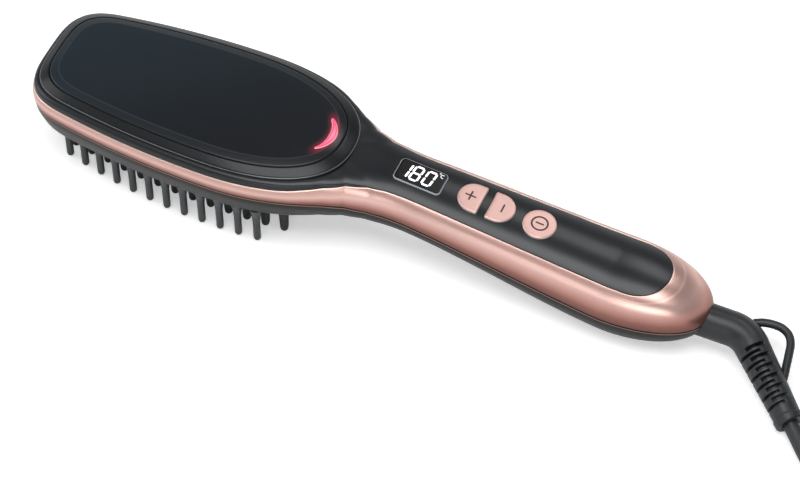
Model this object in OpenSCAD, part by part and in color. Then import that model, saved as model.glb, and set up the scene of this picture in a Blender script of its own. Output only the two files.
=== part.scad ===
// Hair straightening brush with heated pins, a display, three keys and a swivelling cord.
// X runs from the tip of the head to the cord, Z points up, and the brush rests pins down.
// Lengths along the brush are measured from the tip; the origin is under the middle of the brush.

/* [Brush] */
// Length of the brush from the tip of the head to the end of the handle
brush_l = 292; // [286:1:300]
// Thickness of the moulded shells
wall = 2; // [1.6:0.1:2.4]
// Clearance between pieces that fit into each other
fit = 0.2; // [0.1:0.05:0.3]

/* [Head] */
// Length of the head's oval
head_l = 142; // [138:1:146]
// Width of the head at its widest point
head_w = 68.6; // [66:0.2:72]
// How much narrower the head is where its tip starts to round off
tip_drop = 10.6; // [7:0.2:14]
// Length of the rounded tip
tip_r = 22; // [18:1:26]
// Distance from the widest point of the head to its neck end
heel_back = 57; // [52:1:62]
// Height of the rim around the back panel
rim_z = 46; // [45:0.25:47]
// Height of the head's upper parting line
crest_z = 39.8; // [39:0.2:41]
// Height of the head's lower parting line
waist_z = 33; // [32:0.2:34]
// Height of the lower edge of the head
edge_z = 21; // [20.5:0.1:22]

/* [Handle] */
// Distance from the head to the slimmest point of the neck
neck_gap = 15; // [11:1:18]
// Width of the neck
neck_w = 32.2; // [31:0.2:34]
// Width over which the head's outline rounds into the neck
neck_blend = 10; // [5:0.5:10]
// Length over which the outline is eased where the head meets the handle
neck_ease = 8; // [2:0.5:10]
// Height of the top of the neck
neck_top = 42.2; // [41:0.2:43]
// Height of the underside of the neck
neck_belly = 16.8; // [16:0.2:18]
// Distance from the thickest point of the grip to its end
grip_back = 40; // [36:1:44]
// Width of the grip
grip_w = 40; // [38:0.5:42]
// Height of the top of the grip
grip_top = 33.6; // [33:0.2:35]
// Distance from where the handle rests on the ground to its end
rest_back = 30; // [26:1:32]
// Share of the half width at which the black inlay ends
inlay_f = 0.68; // [0.64:0.01:0.7]
// Distance from the end of the inlay to the end of the handle
inlay_back = 18; // [16:0.5:20]

/* [Back panel] */
// Inset of the back panel from the head's outline
panel_in = 7; // [6:0.25:8]
// Inset of the foot of the rim around the panel
rim_in = 3.1; // [2.9:0.1:3.6]
// Distance by which the panel ends short of the oval towards the neck
panel_heel = 2; // [1.5:0.5:4]
// Thickness of the panel at its edge
panel_t = 1.2; // [1:0.1:1.4]
// Rise of the panel's flat middle above its edge
panel_crown = 1.2; // [0.4:0.1:1.4]
// Radius of the indicator's curve
lens_r = 11.2; // [10:0.2:12.4]
// Width of the indicator in its middle
lens_w = 2.6; // [2:0.1:3.2]
// Width of the indicator at its rounded ends
lens_end_w = 1.7; // [1.2:0.1:2]
// Distance from the indicator to the end of the panel
lens_gap = 3; // [2:0.1:4]

/* [Pins] */
// Pins along each side of the head
pin_count = 12; // [10:1:12]
// Distance from the last pin to the neck end of the head
pin_end = 35.58; // [34:0.02:38]
// Distance from the tip to the first pin
pin_x = 16; // [15:0.5:17]
// Width of the head less the distance between the outer rows at their widest
pin_row_in = 14.2; // [13:0.2:16]
// Amount by which an outer row bows in at the tip
pin_row_bow = 9.6; // [8:0.2:11]
// Diameter of a spacer pin
spacer_d = 2.7; // [2.4:0.1:3]
// Diameter of a spacer pin at its flared root
spacer_root_d = 5.2; // [4.4:0.1:5.4]
// Diameter of a heated pin at its tip
pin_tip_d = 2.8; // [2.4:0.1:3]
// Diameter of a heated pin at its root
pin_root_d = 5; // [4.4:0.1:5.2]
// Gap between the heated pins and the ground
pin_lift = 0.8; // [0.4:0.1:1.5]
// Inset of the pin frame from the head's outline
frame_in = 4.6; // [4.2:0.1:5]
// Width of the pin frame
frame_w = 5.6; // [5.2:0.1:6]
// Thickness of the pin frame
frame_t = 1.4; // [1.2:0.1:1.6]

/* [Controls] */
// Length of the display window
window_l = 20.6; // [20:0.2:22]
// Width of the display window
window_w = 11.6; // [10:0.2:12.5]
// Distance from the neck to the middle of the window
window_at = 10.4; // [10:0.1:11]
// Distance from the neck to the middle of the plus and minus keys
keys_at = 38.9; // [38:0.1:40]
// Distance from the neck to the middle of the power key
power_at = 61.7; // [60.5:0.1:63]
// Length of the plus and minus keys together
keys_l = 24.2; // [23:0.2:25]
// Width of the plus and minus keys
keys_w = 13.8; // [13:0.1:14.2]
// Bridge between the plus and minus keys
keys_gap = 3.4; // [3:0.1:4]
// Diameter of the power key
power_d = 13.8; // [13:0.1:14]
// Height of a key above the inlay
key_proud = 0.5; // [0.3:0.05:0.8]
// Travel of a key
key_travel = 0.6; // [0.4:0.05:0.7]

/* [Swivel and cord] */
// Height of the swivel's axis
swivel_z = 13; // [12.5:0.1:13.5]
// Diameter of the swivel's boss
boss_d = 14.2; // [13.4:0.1:14.6]
// Distance from the end of the handle to the corner of the elbow
elbow_out = 14.6; // [13:0.2:16]
// Bend radius of the elbow
elbow_r = 14; // [12:0.5:16]
// Length of the ribbed sleeve from the corner of the elbow
sleeve_l = 42; // [40:0.5:44]
// Diameter of the sleeve at its small end
sleeve_d = 11; // [10.4:0.1:11.4]
// Angle by which the elbow is turned down out of the level
swivel_roll = 13.6; // [12:0.2:15]
// Diameter of the cord
cord_d = 6.5; // [6:0.1:6.6]
// Turns in the coil of stored cord
coil_turns = 6.75; // [6.75:1:6.75]

/* [Hidden] */
$fn = 48;
eps = 0.01;
seam = 0.05;

// Places along the brush, measured from its tip, that follow from the sizes above
tip_w = head_w - tip_drop;
wide_x = head_l - heel_back;
neck_x = head_l + neck_gap;
grip_x = brush_l - grip_back;
rest_x = brush_l - rest_back;
pin_pitch = (head_l - pin_x - pin_end) / (pin_count - 1);
pin_row_w = head_w - pin_row_in;

// How blunt the tip, the heel, the handle's end and the grip's section are
tip_n = 3.5;
heel_n = 2.3;
end_n = 2.2;
grip_n = 2.35;
// Number of steps along a shell and along a flat oval
rows = 52;
oval_rows = 40;
// Stretch over which the head's outline runs into the handle's
join_x0 = head_l - 42;
join_x1 = neck_x - 19;
heel_mid = head_l + 1;
turn_x0 = head_l - 30;

// Rings around the skin from the inlay's edge inwards, each as
// [inset on the head, height on the head, share of the handle's half width,
//  distance from the handle's end, upper side 1 or lower side -1]
crest_ring = [0.6, crest_z, inlay_f, inlay_back, 1];
cover_rings = [
    [panel_in + 7, crest_z + 3.6, inlay_f - 0.5, inlay_back + 10.8, 1],
    [panel_in + 1, crest_z + 3.5, inlay_f - 0.35, inlay_back + 7.6, 1],
    [4.4, crest_z + 3.4, inlay_f - 0.22, inlay_back + 4.8, 1],
    [2.4, crest_z + 3.1, inlay_f - 0.13, inlay_back + 2.7, 1],
    [1.1, crest_z + 2.1, inlay_f - 0.05, inlay_back + 1, 1],
    crest_ring,
];
// Rings of the rim that carries the back panel, each as [inset, height, shortfall at the neck]
rim_rings = [
    [panel_in - 0.5, rim_z, panel_heel],
    [rim_in + 0.5, crest_z + 4.5, panel_heel - 1.2],
    [rim_in, crest_z + 4, panel_heel - 1.4],
    [rim_in, crest_z + 2.4, panel_heel - 1.4],
];
waist_ring = [0.3, waist_z, 1, 0, 0];
band_rings = [
    crest_ring,
    [0.15, mix(crest_z, waist_z, 0.25), 0.8, 9.4, 1],
    [0, mix(crest_z, waist_z, 0.5), 0.9, 3.6, 1],
    [0.05, mix(crest_z, waist_z, 0.8), 0.97, 0.8, 1],
    waist_ring,
];
lower_rings = [
    waist_ring,
    [0.5, waist_z - 2.6, 0.97, 0.8, -1],
    [1.6, waist_z - 7, 0.87, 4.8, -1],
    [4, edge_z, 0.7, 14, -1],
    [8, edge_z, 0.45, 23, -1],
    [16, edge_z, 0.2, 31, -1],
];

// The keys' deck follows the top line of the handle
deck_tilt = atan((neck_top - grip_top) / (grip_x - neck_x));
board_l = 80;
board_w = 23;
board_t = 1.6;
board_z = -9.2;
board_at = 33;
flange_z = -3.3;
flange_t = 0.9;
flange_rim = 1;
stem_l = 1;
plunger_d = 3.2;
plunger_l = 2.1;
switch_w = 6;
switch_top = flange_z - flange_t - stem_l - key_travel - 0.4;

// Heights of the heated bed
frame_z = edge_z + 1 - frame_t;
plate_in = frame_in + frame_w + 0.3;
plate_top = edge_z + 4;
heated_peg_d = 3;
spacer_peg_d = 2.4;
peg_fit = 0.1;
peg_l = 2;
pin_mid_x = wide_x + 1;

// Swivel, measured from the tip along the axis
bearing_x = brush_l - 30;
bearing_l = 14;
bearing_d = 16;
foot_l = 6;
foot_z = wall + 1.5;
shaft_d = 10;
hub_flange_d = 14;
hub_flange_t = 3;
boss_x = brush_l - 6;
spigot_l = brush_l - boss_x;
spigot_d = 8;
corner_x = brush_l + elbow_out;
elbow_tan = elbow_r * tan(22.5);
socket_l = 3;
collar_l = 3;
loop_d = 3;

// Cord: its route over the ground, then the coil, then the tail to the plug
out = [cos(45), -sin(45) * cos(swivel_roll), -sin(45) * sin(swivel_roll)];
cord_exit = [corner_x - brush_l / 2, 0, swivel_z] + (sleeve_l - socket_l) * out;
cord_from = [brush_l / 2, 0, 0];
coil_at = cord_from + [124, -12, 3.3];
coil_rise = 7;
coil_pitch = 6.95;
coil_mid_r = 38;
coil_out_r = coil_mid_r + coil_pitch * coil_turns / 4;
coil_in_r = coil_mid_r - coil_pitch * coil_turns / 4;
coil_step = 15;
cord_route = concat([cord_exit, cord_exit + 8 * out],
    [for (p = [[54, -38.5, 4], [62, -46.5, 3.4], [72, -54, 3.3], [84, -59.3, 3.3], [97, -61.5, 3.3],
               [108, -61.7, 3.3], [117.5, -61.7, 3.3]]) cord_from + p]);
tail_route = [for (p = [[74.3, -18.5, 10.3], [74.3, -25, 10.3], [74.3, -35, 11.3], [76.8, -46.4, 12.5],
                        [83.9, -55.7, 13.9], [94.3, -61.1, 15.6], [106, -61.6, 17.3], [116.8, -57.1, 19.4],
                        [124.7, -48.46, 20.7], [128.2, -42.4, 20.7]]) cord_from + p];
// The plug lies on the coil, with its pins turned by plug_turn from -X
plug_at = cord_from + [128.2, -42.4, 20.7];
plug_turn = 240;
pin_gap = 18.6;
prong_d = 4;
prong_l = 19;
sleeve_h = 10;
prong_core_d = 3;
plug_tail_l = 20;
plug_l = 37;
plug_w = 35;
plug_h = 13.7;

// ---------- Helper functions ----------

function clamp(u) = min(1, max(0, u));
function mix(a, b, t) = a + (b - a) * t;
function smooth(a, b, x) = let (u = clamp((x - a) / (b - a))) u * u * (3 - 2 * u);
function round_end(u, n) = u <= 0 ? 1 : u >= 1 ? 0 : pow(1 - pow(u, n), 1 / n);
// The larger of a and b, rounded over a width of k where they cross
function blend(a, b, k) = (a + b + sqrt((a - b) * (a - b) + k * k)) / 2;
// Position u of 0 to 1 along a ring from x0 to x1, close together at both ends and at the neck
function station(u, x0, x1) = u < 0.5 ? mix(x0, heel_mid, (1 - cos(360 * u)) / 2)
    : mix(heel_mid, x1, (1 - cos(360 * u - 180)) / 2);

// Half width of the head's oval at x, drawn in by d all round and by heel more at the neck
function oval_half(x, d, heel = 0) =
    let (s = (x - d) * head_l / (head_l - heel - 2 * d))
    s <= 0 || s >= head_l ? 0
    : (1 - 2 * d / head_w) * (s < wide_x
        ? (head_w - (head_w - tip_w) * pow((wide_x - s) / (wide_x - tip_r), 2)) / 2
            * round_end((tip_r - s) / tip_r, tip_n)
        : head_w / 2 * round_end((s - wide_x) / (head_l - wide_x), heel_n));

// Outline of that oval as a polygon's points
function oval(d, heel = 0) =
    let (l = head_l - heel - 2 * d,
         half = [for (i = [0 : oval_rows]) let (x = d + l * (1 - cos(180 * i / oval_rows)) / 2)
                 [x, oval_half(x, d, heel)]])
    concat(half, [for (i = [oval_rows - 1 : -1 : 1]) [half[i][0], -half[i][1]]]);

// Handle: half width, top line, underside, and the rounding of its end for a skin moved in by t
function handle_u(x) = clamp((x - neck_x) / (grip_x - neck_x));
function handle_half(x) = mix(neck_w, grip_w, handle_u(x)) / 2;
function spine(x) = mix(neck_top, grip_top, handle_u(x));
function belly(x) = neck_belly * (1 - smooth(neck_x, rest_x, x));
function handle_mid(x) = (spine(x) + belly(x)) / 2;
function handle_end(x, t) = round_end((x - grip_x) / (brush_l - t - grip_x), end_n);

// How far around the end of the handle a ring lies at x, from its full share down to 0
function ring_share(x, spec, t) =
    let (x1 = brush_l - spec[3] - t, r = max(4, (brush_l - grip_x) * pow(spec[2], 2.4)))
    spec[2] * round_end((x - x1 + r) / r, end_n);

// Half width of a ring at x: the head's oval and the handle's side, rounded where they cross
function side_half(x, spec, t) =
    let (k = neck_blend * min(1, spec[2] / inlay_f) * smooth(join_x0, join_x1 - 4, x)
             * (1 - smooth(head_l, neck_x + 14, x)))
    blend(oval_half(x, spec[0] + t),
          ring_share(x, spec, t) * (handle_half(x) - t) * smooth(join_x0, join_x1, x), k);

// The same, eased through the neck by a weighted mean over neck_ease to both sides, twice
ease_weights = [1, 4, 6, 4, 1] / 16;
function eased_half(x, spec, t) =
    let (step = neck_ease * smooth(join_x0 + 8, join_x0 + 30, x) * (1 - smooth(neck_x - 5, neck_x + 23, x)))
    step == 0 ? side_half(x, spec, t)
        : ease_weights * [for (i = [-2 : 2]) side_half(x + i * step, spec, t)];

// Point of a ring at x, for a skin moved in by t
function ring_point(x, spec, t) =
    let (cap = handle_end(x, t),
         lift = spec[4] == 0 || cap == 0 ? 0 : round_end(min(1, ring_share(x, spec, t) / cap), grip_n),
         half_depth = ((spine(x) - belly(x)) / 2 - t) * cap,
         grip_z = handle_mid(x) + spec[4] * half_depth * lift)
    [x, eased_half(x, spec, t), mix(spec[1] - spec[4] * t, grip_z, smooth(turn_x0, neck_x, x))];

// Closed ring of the skin: along one side from the tip to the handle's end, and back
function ring(spec, t) =
    let (x0 = spec[0] + t, l = brush_l - spec[3] - t - x0,
         half = [for (i = [0 : rows])
                 let (p = ring_point(station(i / rows, x0, x0 + l), spec, t))
                 i == 0 || i == rows ? [p[0], 0, p[2]] : p])
    concat(half, [for (i = [rows - 1 : -1 : 1]) [half[i][0], -half[i][1], half[i][2]]]);

// Triangles between ring k and the next ring of m points each, split the other way if turned
function band(k, next, m, turned = false) =
    [for (i = [0 : m - 1]) let (j = (i + 1) % m, a = k * m + i, b = next * m + i,
                                c = k * m + j, d = next * m + j)
     each (turned ? [[a, b, d], [a, d, c]] : [[a, b, c], [c, b, d]])];

// Triangles that close ring k across its two sides, turned over if flip is true
function lid(k, m, flip) =
    let (h = m / 2, o = k * m,
         tris = [for (i = [0 : h - 1]) let (a = i, b = i + 1, c = (m - i - 1) % m, d = (m - i) % m)
                 each (i == 0 ? [[a, b, c]] : i == h - 1 ? [[a, b, d]] : [[a, b, c], [a, c, d]])])
    [for (f = tris) flip ? [o + f[0], o + f[2], o + f[1]] : [o + f[0], o + f[1], o + f[2]]];

// Solid through a stack of rings from its top down, closed by lids;
// the band below ring number turned is split the other way, so that two lips match
module skin(rings, turned = -1) {
    m = len(rings[0]);
    n = len(rings);
    walls = [for (k = [0 : n - 2]) each band(k, k + 1, m, k == turned)];
    ends = concat(lid(0, m, false), lid(n - 1, m, true));
    polyhedron(points = [for (r = rings) each r], faces = concat(walls, ends), convexity = 8);
}

// One side of a shell that is open at its top and underside, cut off short of the middle
module half_shell(specs, side) {
    rings = concat([for (i = [len(specs) - 1 : -1 : 0]) ring(specs[i], wall)],
                   [for (s = specs) ring(s, 0)]);
    n = len(rings);
    m = rows + 1;
    points = [for (r = rings) each [for (i = [0 : rows]) let (p = r[side > 0 ? i : (rows + i) % (2 * rows)])
              i == 0 || i == rows ? [p[0], side * seam / 2, p[2]] : p]];
    walls = [for (k = [0 : n - 1], i = [0 : rows - 1])
             let (q = (k + 1) % n, a = k * m + i, b = q * m + i)
             each (k == n - 1 ? [[a, b, b + 1], [a, b + 1, a + 1]] : [[a, b, a + 1], [a + 1, b, b + 1]])];
    ends = [for (k = [0 : n / 2 - 2]) let (a = k * m, b = a + m, c = (n - 2 - k) * m, d = c + m)
            each [[d, c, b], [d, b, a], [a + rows, b + rows, c + rows], [a + rows, c + rows, d + rows]]];
    polyhedron(points = points, faces = concat(ends, walls), convexity = 8);
}

// Solid through flat ovals, each as [inset, height, shortfall at the neck], from the top down
module flat_skin(specs) skin([for (s = specs) [for (p = oval(s[0], s[2])) [p[0], p[1], s[1]]]]);

// Shell between a list of rings from the top down and the same rings moved in by the wall,
// closed over its first ring ("first") or its last ring ("last")
module shell(specs, closed) {
    outer = [for (s = specs) ring(s, 0)];
    inner = [for (i = [len(specs) - 1 : -1 : 0]) ring(specs[i], wall)];
    if (closed == "first") skin(concat(outer, inner), len(specs) - 1);
    else skin(concat(inner, outer), -1);
}

// Round tube through a list of points, its rings square to the path
function unit(v) = v / norm(v);
function tube_ring(p, dir, r, sides) =
    let (side = unit(cross(dir, [0, 0, 1])), up = cross(dir, side))
    [for (k = [0 : sides - 1]) let (a = 360 * (k + 0.5) / sides) p + r * (cos(a) * side + sin(a) * up)];
function tube_rings(path, r, sides) =
    let (n = len(path))
    [for (i = [0 : n - 1])
     tube_ring(path[i], unit(path[min(n - 1, i + 1)] - path[max(0, i - 1)]), r, sides)];
module tube(path, d, sides) {
    rings = tube_rings(path, d / 2, sides);
    n = len(rings);
    walls = [for (k = [0 : n - 2]) each band(k, k + 1, sides)];
    start = [for (k = [1 : sides - 2]) [0, k, k + 1]];
    stop = [for (k = [1 : sides - 2]) [(n - 1) * sides, (n - 1) * sides + k + 1, (n - 1) * sides + k]];
    polyhedron(points = [for (r = rings) each r], faces = concat(walls, start, stop), convexity = 10);
}

// ---------- Frames of reference ----------

module from_tip() translate([-brush_l / 2, 0, 0]) children();
module deck(at) from_tip() translate([neck_x, 0, neck_top]) rotate([0, deck_tilt, 0])
    translate([at, 0, 0]) children();
module swivel() from_tip() translate([0, 0, swivel_z]) rotate([180 + swivel_roll, 0, 0]) children();
module along_x(x, d, l) translate([x, 0, 0]) rotate([0, 90, 0]) cylinder(d = d, h = l);

// ---------- Head ----------

panel_floor = rim_z - 1;
heel_x = head_l - panel_heel - panel_in;
lens_x = heel_x - lens_gap - lens_w / 2 - lens_r;
lens_a = 46;

module panel_outline(clear = 0) polygon(oval(panel_in - clear, panel_heel));

// Points along the indicator's curved side, or round its ends where w turns to zero
function lens_side(a, w) = [lens_x + (lens_r + w) * cos(a), (lens_r + w) * sin(a)];
function lens_half(a) = mix(lens_w, lens_end_w, pow(abs(a) / lens_a, 1.5)) / 2;
module crescent(grow = 0) {
    out_side = [for (a = [-lens_a : lens_a / 12 : lens_a + eps]) lens_side(a, lens_half(a) + grow)];
    in_side = [for (a = [lens_a : -lens_a / 12 : -lens_a - eps]) lens_side(a, -lens_half(a) - grow)];
    polygon(concat(out_side, in_side));
    for (a = [-lens_a, lens_a]) translate(lens_side(a, 0)) circle(d = lens_end_w + 2 * grow);
}

module indicator_lens() color("#ec3f70") from_tip() translate([0, 0, panel_floor])
    linear_extrude(panel_t + panel_crown - 0.1) crescent();

module head_panel() {
    top = panel_floor + panel_t;
    color("#262e34") from_tip() difference() {
        flat_skin([[panel_in + 8, top + panel_crown, panel_heel],
                   [panel_in + 3.5, top + 0.75 * panel_crown, panel_heel],
                   [panel_in + 0.4, top, panel_heel], [panel_in, top - 0.3, panel_heel],
                   [panel_in, panel_floor, panel_heel]]);
        translate([0, 0, panel_floor - 1]) linear_extrude(5) crescent(fit);
    }
}

module indicator_board() color("#2f6b45") from_tip() {
    base = crest_z + 0.5;
    translate([lens_x + lens_r - 9, -9, base - 1.2]) cube([10, 18, 1.2]);
    for (p = [[-1.8, -5.5], [0, 0], [-1.8, 5.5]]) translate([lens_x + lens_r + p[0] - 1, p[1] - 1, base - eps])
        cube([2, 2, 0.3]);
}

module top_cover() color("#15181b") difference() {
    union() {
        from_tip() shell(cover_rings, "first");
        from_tip() flat_skin(rim_rings);
        for (at = boss_ats, y = [-1, 1] * boss_y) deck(at) translate([0, y, board_z])
            cylinder(d = boss_post_d, h = -board_z - wall - 1);
        for (x = housing_xs) from_tip() translate([x, 0, post_split])
            cylinder(d = post_d, h = spine(x) - wall / 2 - post_split);
    }
    from_tip() translate([0, 0, panel_floor]) linear_extrude(5) panel_outline(fit);
    from_tip() translate([0, 0, crest_z]) linear_extrude(6) crescent(-0.5);
    deck(window_at) window_cut();
    deck(keys_at) for (side = [-1, 1]) key_cut(side);
    deck(power_at) translate([0, 0, -8]) cylinder(d = power_d + 2 * fit, h = 12);
    for (at = boss_ats, y = [-1, 1] * boss_y) deck(at) translate([0, y, board_z - eps])
        cylinder(d = 1.8, h = 4.5);
    for (x = housing_xs) from_tip() translate([x, 0, post_split - eps]) cylinder(d = 2.4, h = 9);
}

module trim_band() color("#c9938a") for (side = [1, -1]) difference() {
    from_tip() half_shell(band_rings, side);
    boss_hole();
}

module boss_hole() from_tip() translate([0, 0, swivel_z])
    along_x(bearing_x + bearing_l + 2, boss_d + 0.6, brush_l);

module lower_shell() color("#17191c") difference() {
    union() {
        from_tip() shell(lower_rings, "last");
        for (x = housing_xs) from_tip() translate([x, 0, belly(x) + wall / 2])
            cylinder(d = post_d, h = post_split - belly(x) - wall / 2);
        for (p = frame_screw_ps) from_tip() translate([p[0], p[1], edge_z + wall - 0.5])
            cylinder(d = 5, h = 4);
    }
    boss_hole();
    from_tip() translate([0, 0, edge_z - 1]) linear_extrude(2) polygon(oval(frame_in - fit));
    from_tip() translate([0, 0, edge_z - 1]) linear_extrude(8) polygon(oval(plate_in - 1.3 - fit));
    for (p = frame_screw_ps) from_tip() translate([p[0], p[1], edge_z]) cylinder(d = 1.6, h = 5);
    for (x = housing_xs) from_tip() translate([x, 0, belly(x) - 1]) {
        cylinder(d = screw_head_d + 0.6, h = screw_sink + 1);
        cylinder(d = 3.2, h = 40);
    }
}

// ---------- Heated bed ----------

function pin_station(i) = pin_x + i * pin_pitch;
function row_y(x) = (pin_row_w / 2) - pin_row_bow * pow((pin_mid_x - x) / (pin_mid_x - pin_x), 2);
frame_screw_ps = [for (s = [-1, 1]) each [[frame_in + frame_w - 1, s * 11],
                  [head_l - 21, s * (oval_half(head_l - 21, frame_in + frame_w / 2))]]];
spacer_ps = [for (i = [0 : pin_count - 1], s = [-1, 1]) [pin_station(i), s * row_y(pin_station(i))]];
heated_ps = [for (i = [0 : pin_count], k = [-2 : 2]) [pin_station(i), 0.35 * k * row_y(pin_station(i))]];

module pin_frame() color("#1b1e20") from_tip() translate([0, 0, frame_z]) difference() {
    linear_extrude(frame_t) difference() {
        polygon(oval(frame_in));
        difference() {
            polygon(oval(frame_in + frame_w));
            for (p = spacer_ps) translate(p) circle(d = spacer_root_d + 0.4);
        }
    }
    for (p = spacer_ps) translate([p[0], p[1], -1]) cylinder(d = spacer_peg_d + peg_fit, h = 4);
    for (p = frame_screw_ps) translate([p[0], p[1], -1]) cylinder(d = 2.4, h = 4);
}

module spacer_pin() rotate_extrude($fn = 24)
    polygon([[0, 0], [0.3, 0], [spacer_d * 0.3, 0.2], [spacer_d * 0.44, 0.65], [spacer_d / 2, 1.3],
             [spacer_d / 2, frame_z - 8], [spacer_d / 2 + 0.25, frame_z - 4.5],
             [spacer_root_d / 2 - 0.5, frame_z - 1.8], [spacer_root_d / 2, frame_z],
             [spacer_peg_d / 2, frame_z], [spacer_peg_d / 2, frame_z + frame_t], [0, frame_z + frame_t]]);

module spacer_pins() color("#303538") from_tip() for (p = spacer_ps)
    translate([p[0], p[1], 0]) spacer_pin();

module heater_plate() color("#202325") from_tip() difference() {
    union() {
        translate([0, 0, frame_z]) linear_extrude(frame_t + eps) difference() {
            polygon(oval(plate_in));
            for (p = spacer_ps) translate(p) circle(d = spacer_root_d + 1);
        }
        translate([0, 0, frame_z + frame_t]) linear_extrude(plate_top - frame_z - frame_t)
            polygon(oval(plate_in - 1.3));
    }
    for (p = heated_ps) translate([p[0], p[1], frame_z - 1]) cylinder(d = heated_peg_d + peg_fit, h = peg_l + 1.1);
    for (p = clamp_ps) translate([p[0], p[1], clamp_foot]) cylinder(d = 1.8, h = 10);
}

// Heated pin with a rounded tip and a peg that seats in the plate
module heated_pin() rotate_extrude($fn = 24)
    polygon([[0, pin_lift], [0.4, pin_lift], [pin_tip_d * 0.34, pin_lift + 0.25],
             [pin_tip_d * 0.46, pin_lift + 0.75], [pin_tip_d / 2, pin_lift + 1.4],
             [pin_tip_d / 2 + 0.1, pin_lift + 3.4], [pin_root_d / 2 - 0.3, frame_z - 3],
             [pin_root_d / 2, frame_z], [heated_peg_d / 2, frame_z],
             [heated_peg_d / 2, frame_z + peg_l], [0, frame_z + peg_l]]);

module heated_pins() color("#23272a") from_tip() for (p = heated_ps)
    translate([p[0], p[1], 0]) heated_pin();

module frame_screws() color("#8c8f93") from_tip() for (p = frame_screw_ps)
    translate([p[0], p[1], 0]) {
        translate([0, 0, frame_z - 1.2]) cylinder(d = 4, h = 1.2);
        translate([0, 0, frame_z - 0.5]) cylinder(d = 1.6, h = 5);
    }

heater_l = head_l - 58;
heater_w = 11;
heater_y = 7;
clamp_y = 14.6;
heater_t = 3.2;
clamp_x = head_l / 2 - 1.5;
clamp_reach = heater_l / 3;
heater_end = heater_l / 2 + 10;
clamp_foot = frame_z + peg_l + 0.1;
clamp_ps = [for (x = [-1, 1] * clamp_reach, s = [-1, 1]) [clamp_x + x, s * clamp_y]];

module ptc_heaters() color("#d8d2c0") from_tip() for (s = [-1, 1])
    translate([clamp_x - heater_l / 2, s * heater_y - heater_w / 2, plate_top])
        cube([heater_l, heater_w, heater_t]);

module mica_sheet() color("#b9a26a") from_tip()
    translate([clamp_x - heater_l / 2 - 4, -heater_y - heater_w / 2, plate_top + heater_t])
        cube([heater_l + 8, 2 * heater_y + heater_w, 0.6]);

module heater_clamp() {
    z = plate_top + heater_t + 0.6;
    color("#a9adb1") from_tip() for (x = [-1, 1] * clamp_reach) difference() {
        union() {
            translate([clamp_x + x - 4, -clamp_y - 2.4, z]) cube([8, 2 * clamp_y + 4.8, 1]);
            for (s = [-1, 1]) translate([clamp_x + x - 4, s * (clamp_y + 0.4) - 2, plate_top])
                cube([8, 4, z - plate_top + eps]);
        }
        for (s = [-1, 1]) translate([clamp_x + x, s * clamp_y, plate_top - 1]) cylinder(d = 2.6, h = 9);
    }
}

module clamp_screws() color("#8c8f93") from_tip() for (p = clamp_ps) {
    z = plate_top + heater_t + 1.6;
    translate([p[0], p[1], z]) cylinder(d = 4, h = 1.2);
    translate([p[0], p[1], clamp_foot]) cylinder(d = 1.8, h = z - clamp_foot + eps);
}

module thermal_fuse() color("#b8bcc0") from_tip() translate([clamp_x + heater_end, -6, plate_top + 2.1])
    rotate([-90, 0, 0]) cylinder(d = 4, h = 12);

module temperature_sensor() color("#c46a3a") from_tip() translate([clamp_x - heater_end, -3, plate_top])
    cube([5, 6, 2.2]);

module heat_shield() color("#d9d6cc") from_tip() {
    foot_z = plate_top + heater_t + 1.6;
    translate([0, 0, shield_z]) linear_extrude(1) polygon(oval(7, 18));
    for (p = shield_ps) translate([p[0], p[1], foot_z]) cylinder(d = 5, h = shield_z - foot_z + eps);
}
shield_z = 36;
shield_ps = [for (x = [-1, 1] * clamp_reach) [clamp_x + x, 0]];

// ---------- Controls ----------

boss_ats = [window_at + window_l / 2 + 4.2, power_at + power_d / 2 + 2];
boss_y = 8;
boss_post_d = 4.6;
housing_xs = [neck_x - 14, brush_l - 58];
post_split = 24;
post_d = 7;
screw_head_d = 5.4;
screw_sink = 3;

module rounded(l, w, r) {
    square([l - 2 * r, w], center = true);
    square([l, w - 2 * r], center = true);
    for (x = [-1, 1], y = [-1, 1]) translate([x * (l / 2 - r), y * (w / 2 - r)]) circle(r = r);
}

module window_cut() {
    translate([0, 0, -1.6]) linear_extrude(5) rounded(window_l + 2 * fit, window_w + 2 * fit, 2);
    translate([0, 0, -8]) linear_extrude(10) rounded(window_l - 4, window_w - 2.6, 1);
}

module display_window() color("#08090b") deck(window_at) translate([0, 0, -1.6])
    linear_extrude(1.5) rounded(window_l, window_w, 2);

module display_module() color("#3a4046") deck(window_at) {
    translate([-12.5, -6.5, board_z]) cube([25, 13, flange_z - 0.2 - board_z]);
    translate([0, 0, flange_z - 0.3]) linear_extrude(-1.6 - flange_z + 0.3)
        rounded(window_l - 4.6, window_w - 3.2, 0.8);
}

// Half of the keys' oval; side -1 is the plus key and side 1 the minus key
module key_outline(side, grow) {
    straight = (keys_l - keys_w - keys_gap) / 2;
    mirror([side < 0 ? 1 : 0, 0]) translate([keys_gap / 2, 0]) {
        translate([-grow, -keys_w / 2 - grow]) square([straight + grow, keys_w + 2 * grow]);
        intersection() {
            translate([straight, 0]) circle(d = keys_w + 2 * grow, $fn = 72);
            translate([straight - eps, -keys_w]) square([keys_w, 2 * keys_w]);
        }
    }
}

module key_cut(side) translate([0, 0, -8]) linear_extrude(12) key_outline(side, fit);

function key_middle(side) = side * (keys_gap + (keys_l - keys_gap) / 2) / 2;

module key_stem(at) translate([at, 0, flange_z - flange_t - stem_l]) cylinder(d = 4.4, h = stem_l + eps);

module split_key(side) deck(keys_at) {
    translate([0, 0, flange_z]) linear_extrude(key_proud - flange_z) key_outline(side, 0);
    translate([0, 0, flange_z - flange_t]) linear_extrude(flange_t + eps) key_outline(side, flange_rim);
    key_stem(key_middle(side));
}

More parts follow.
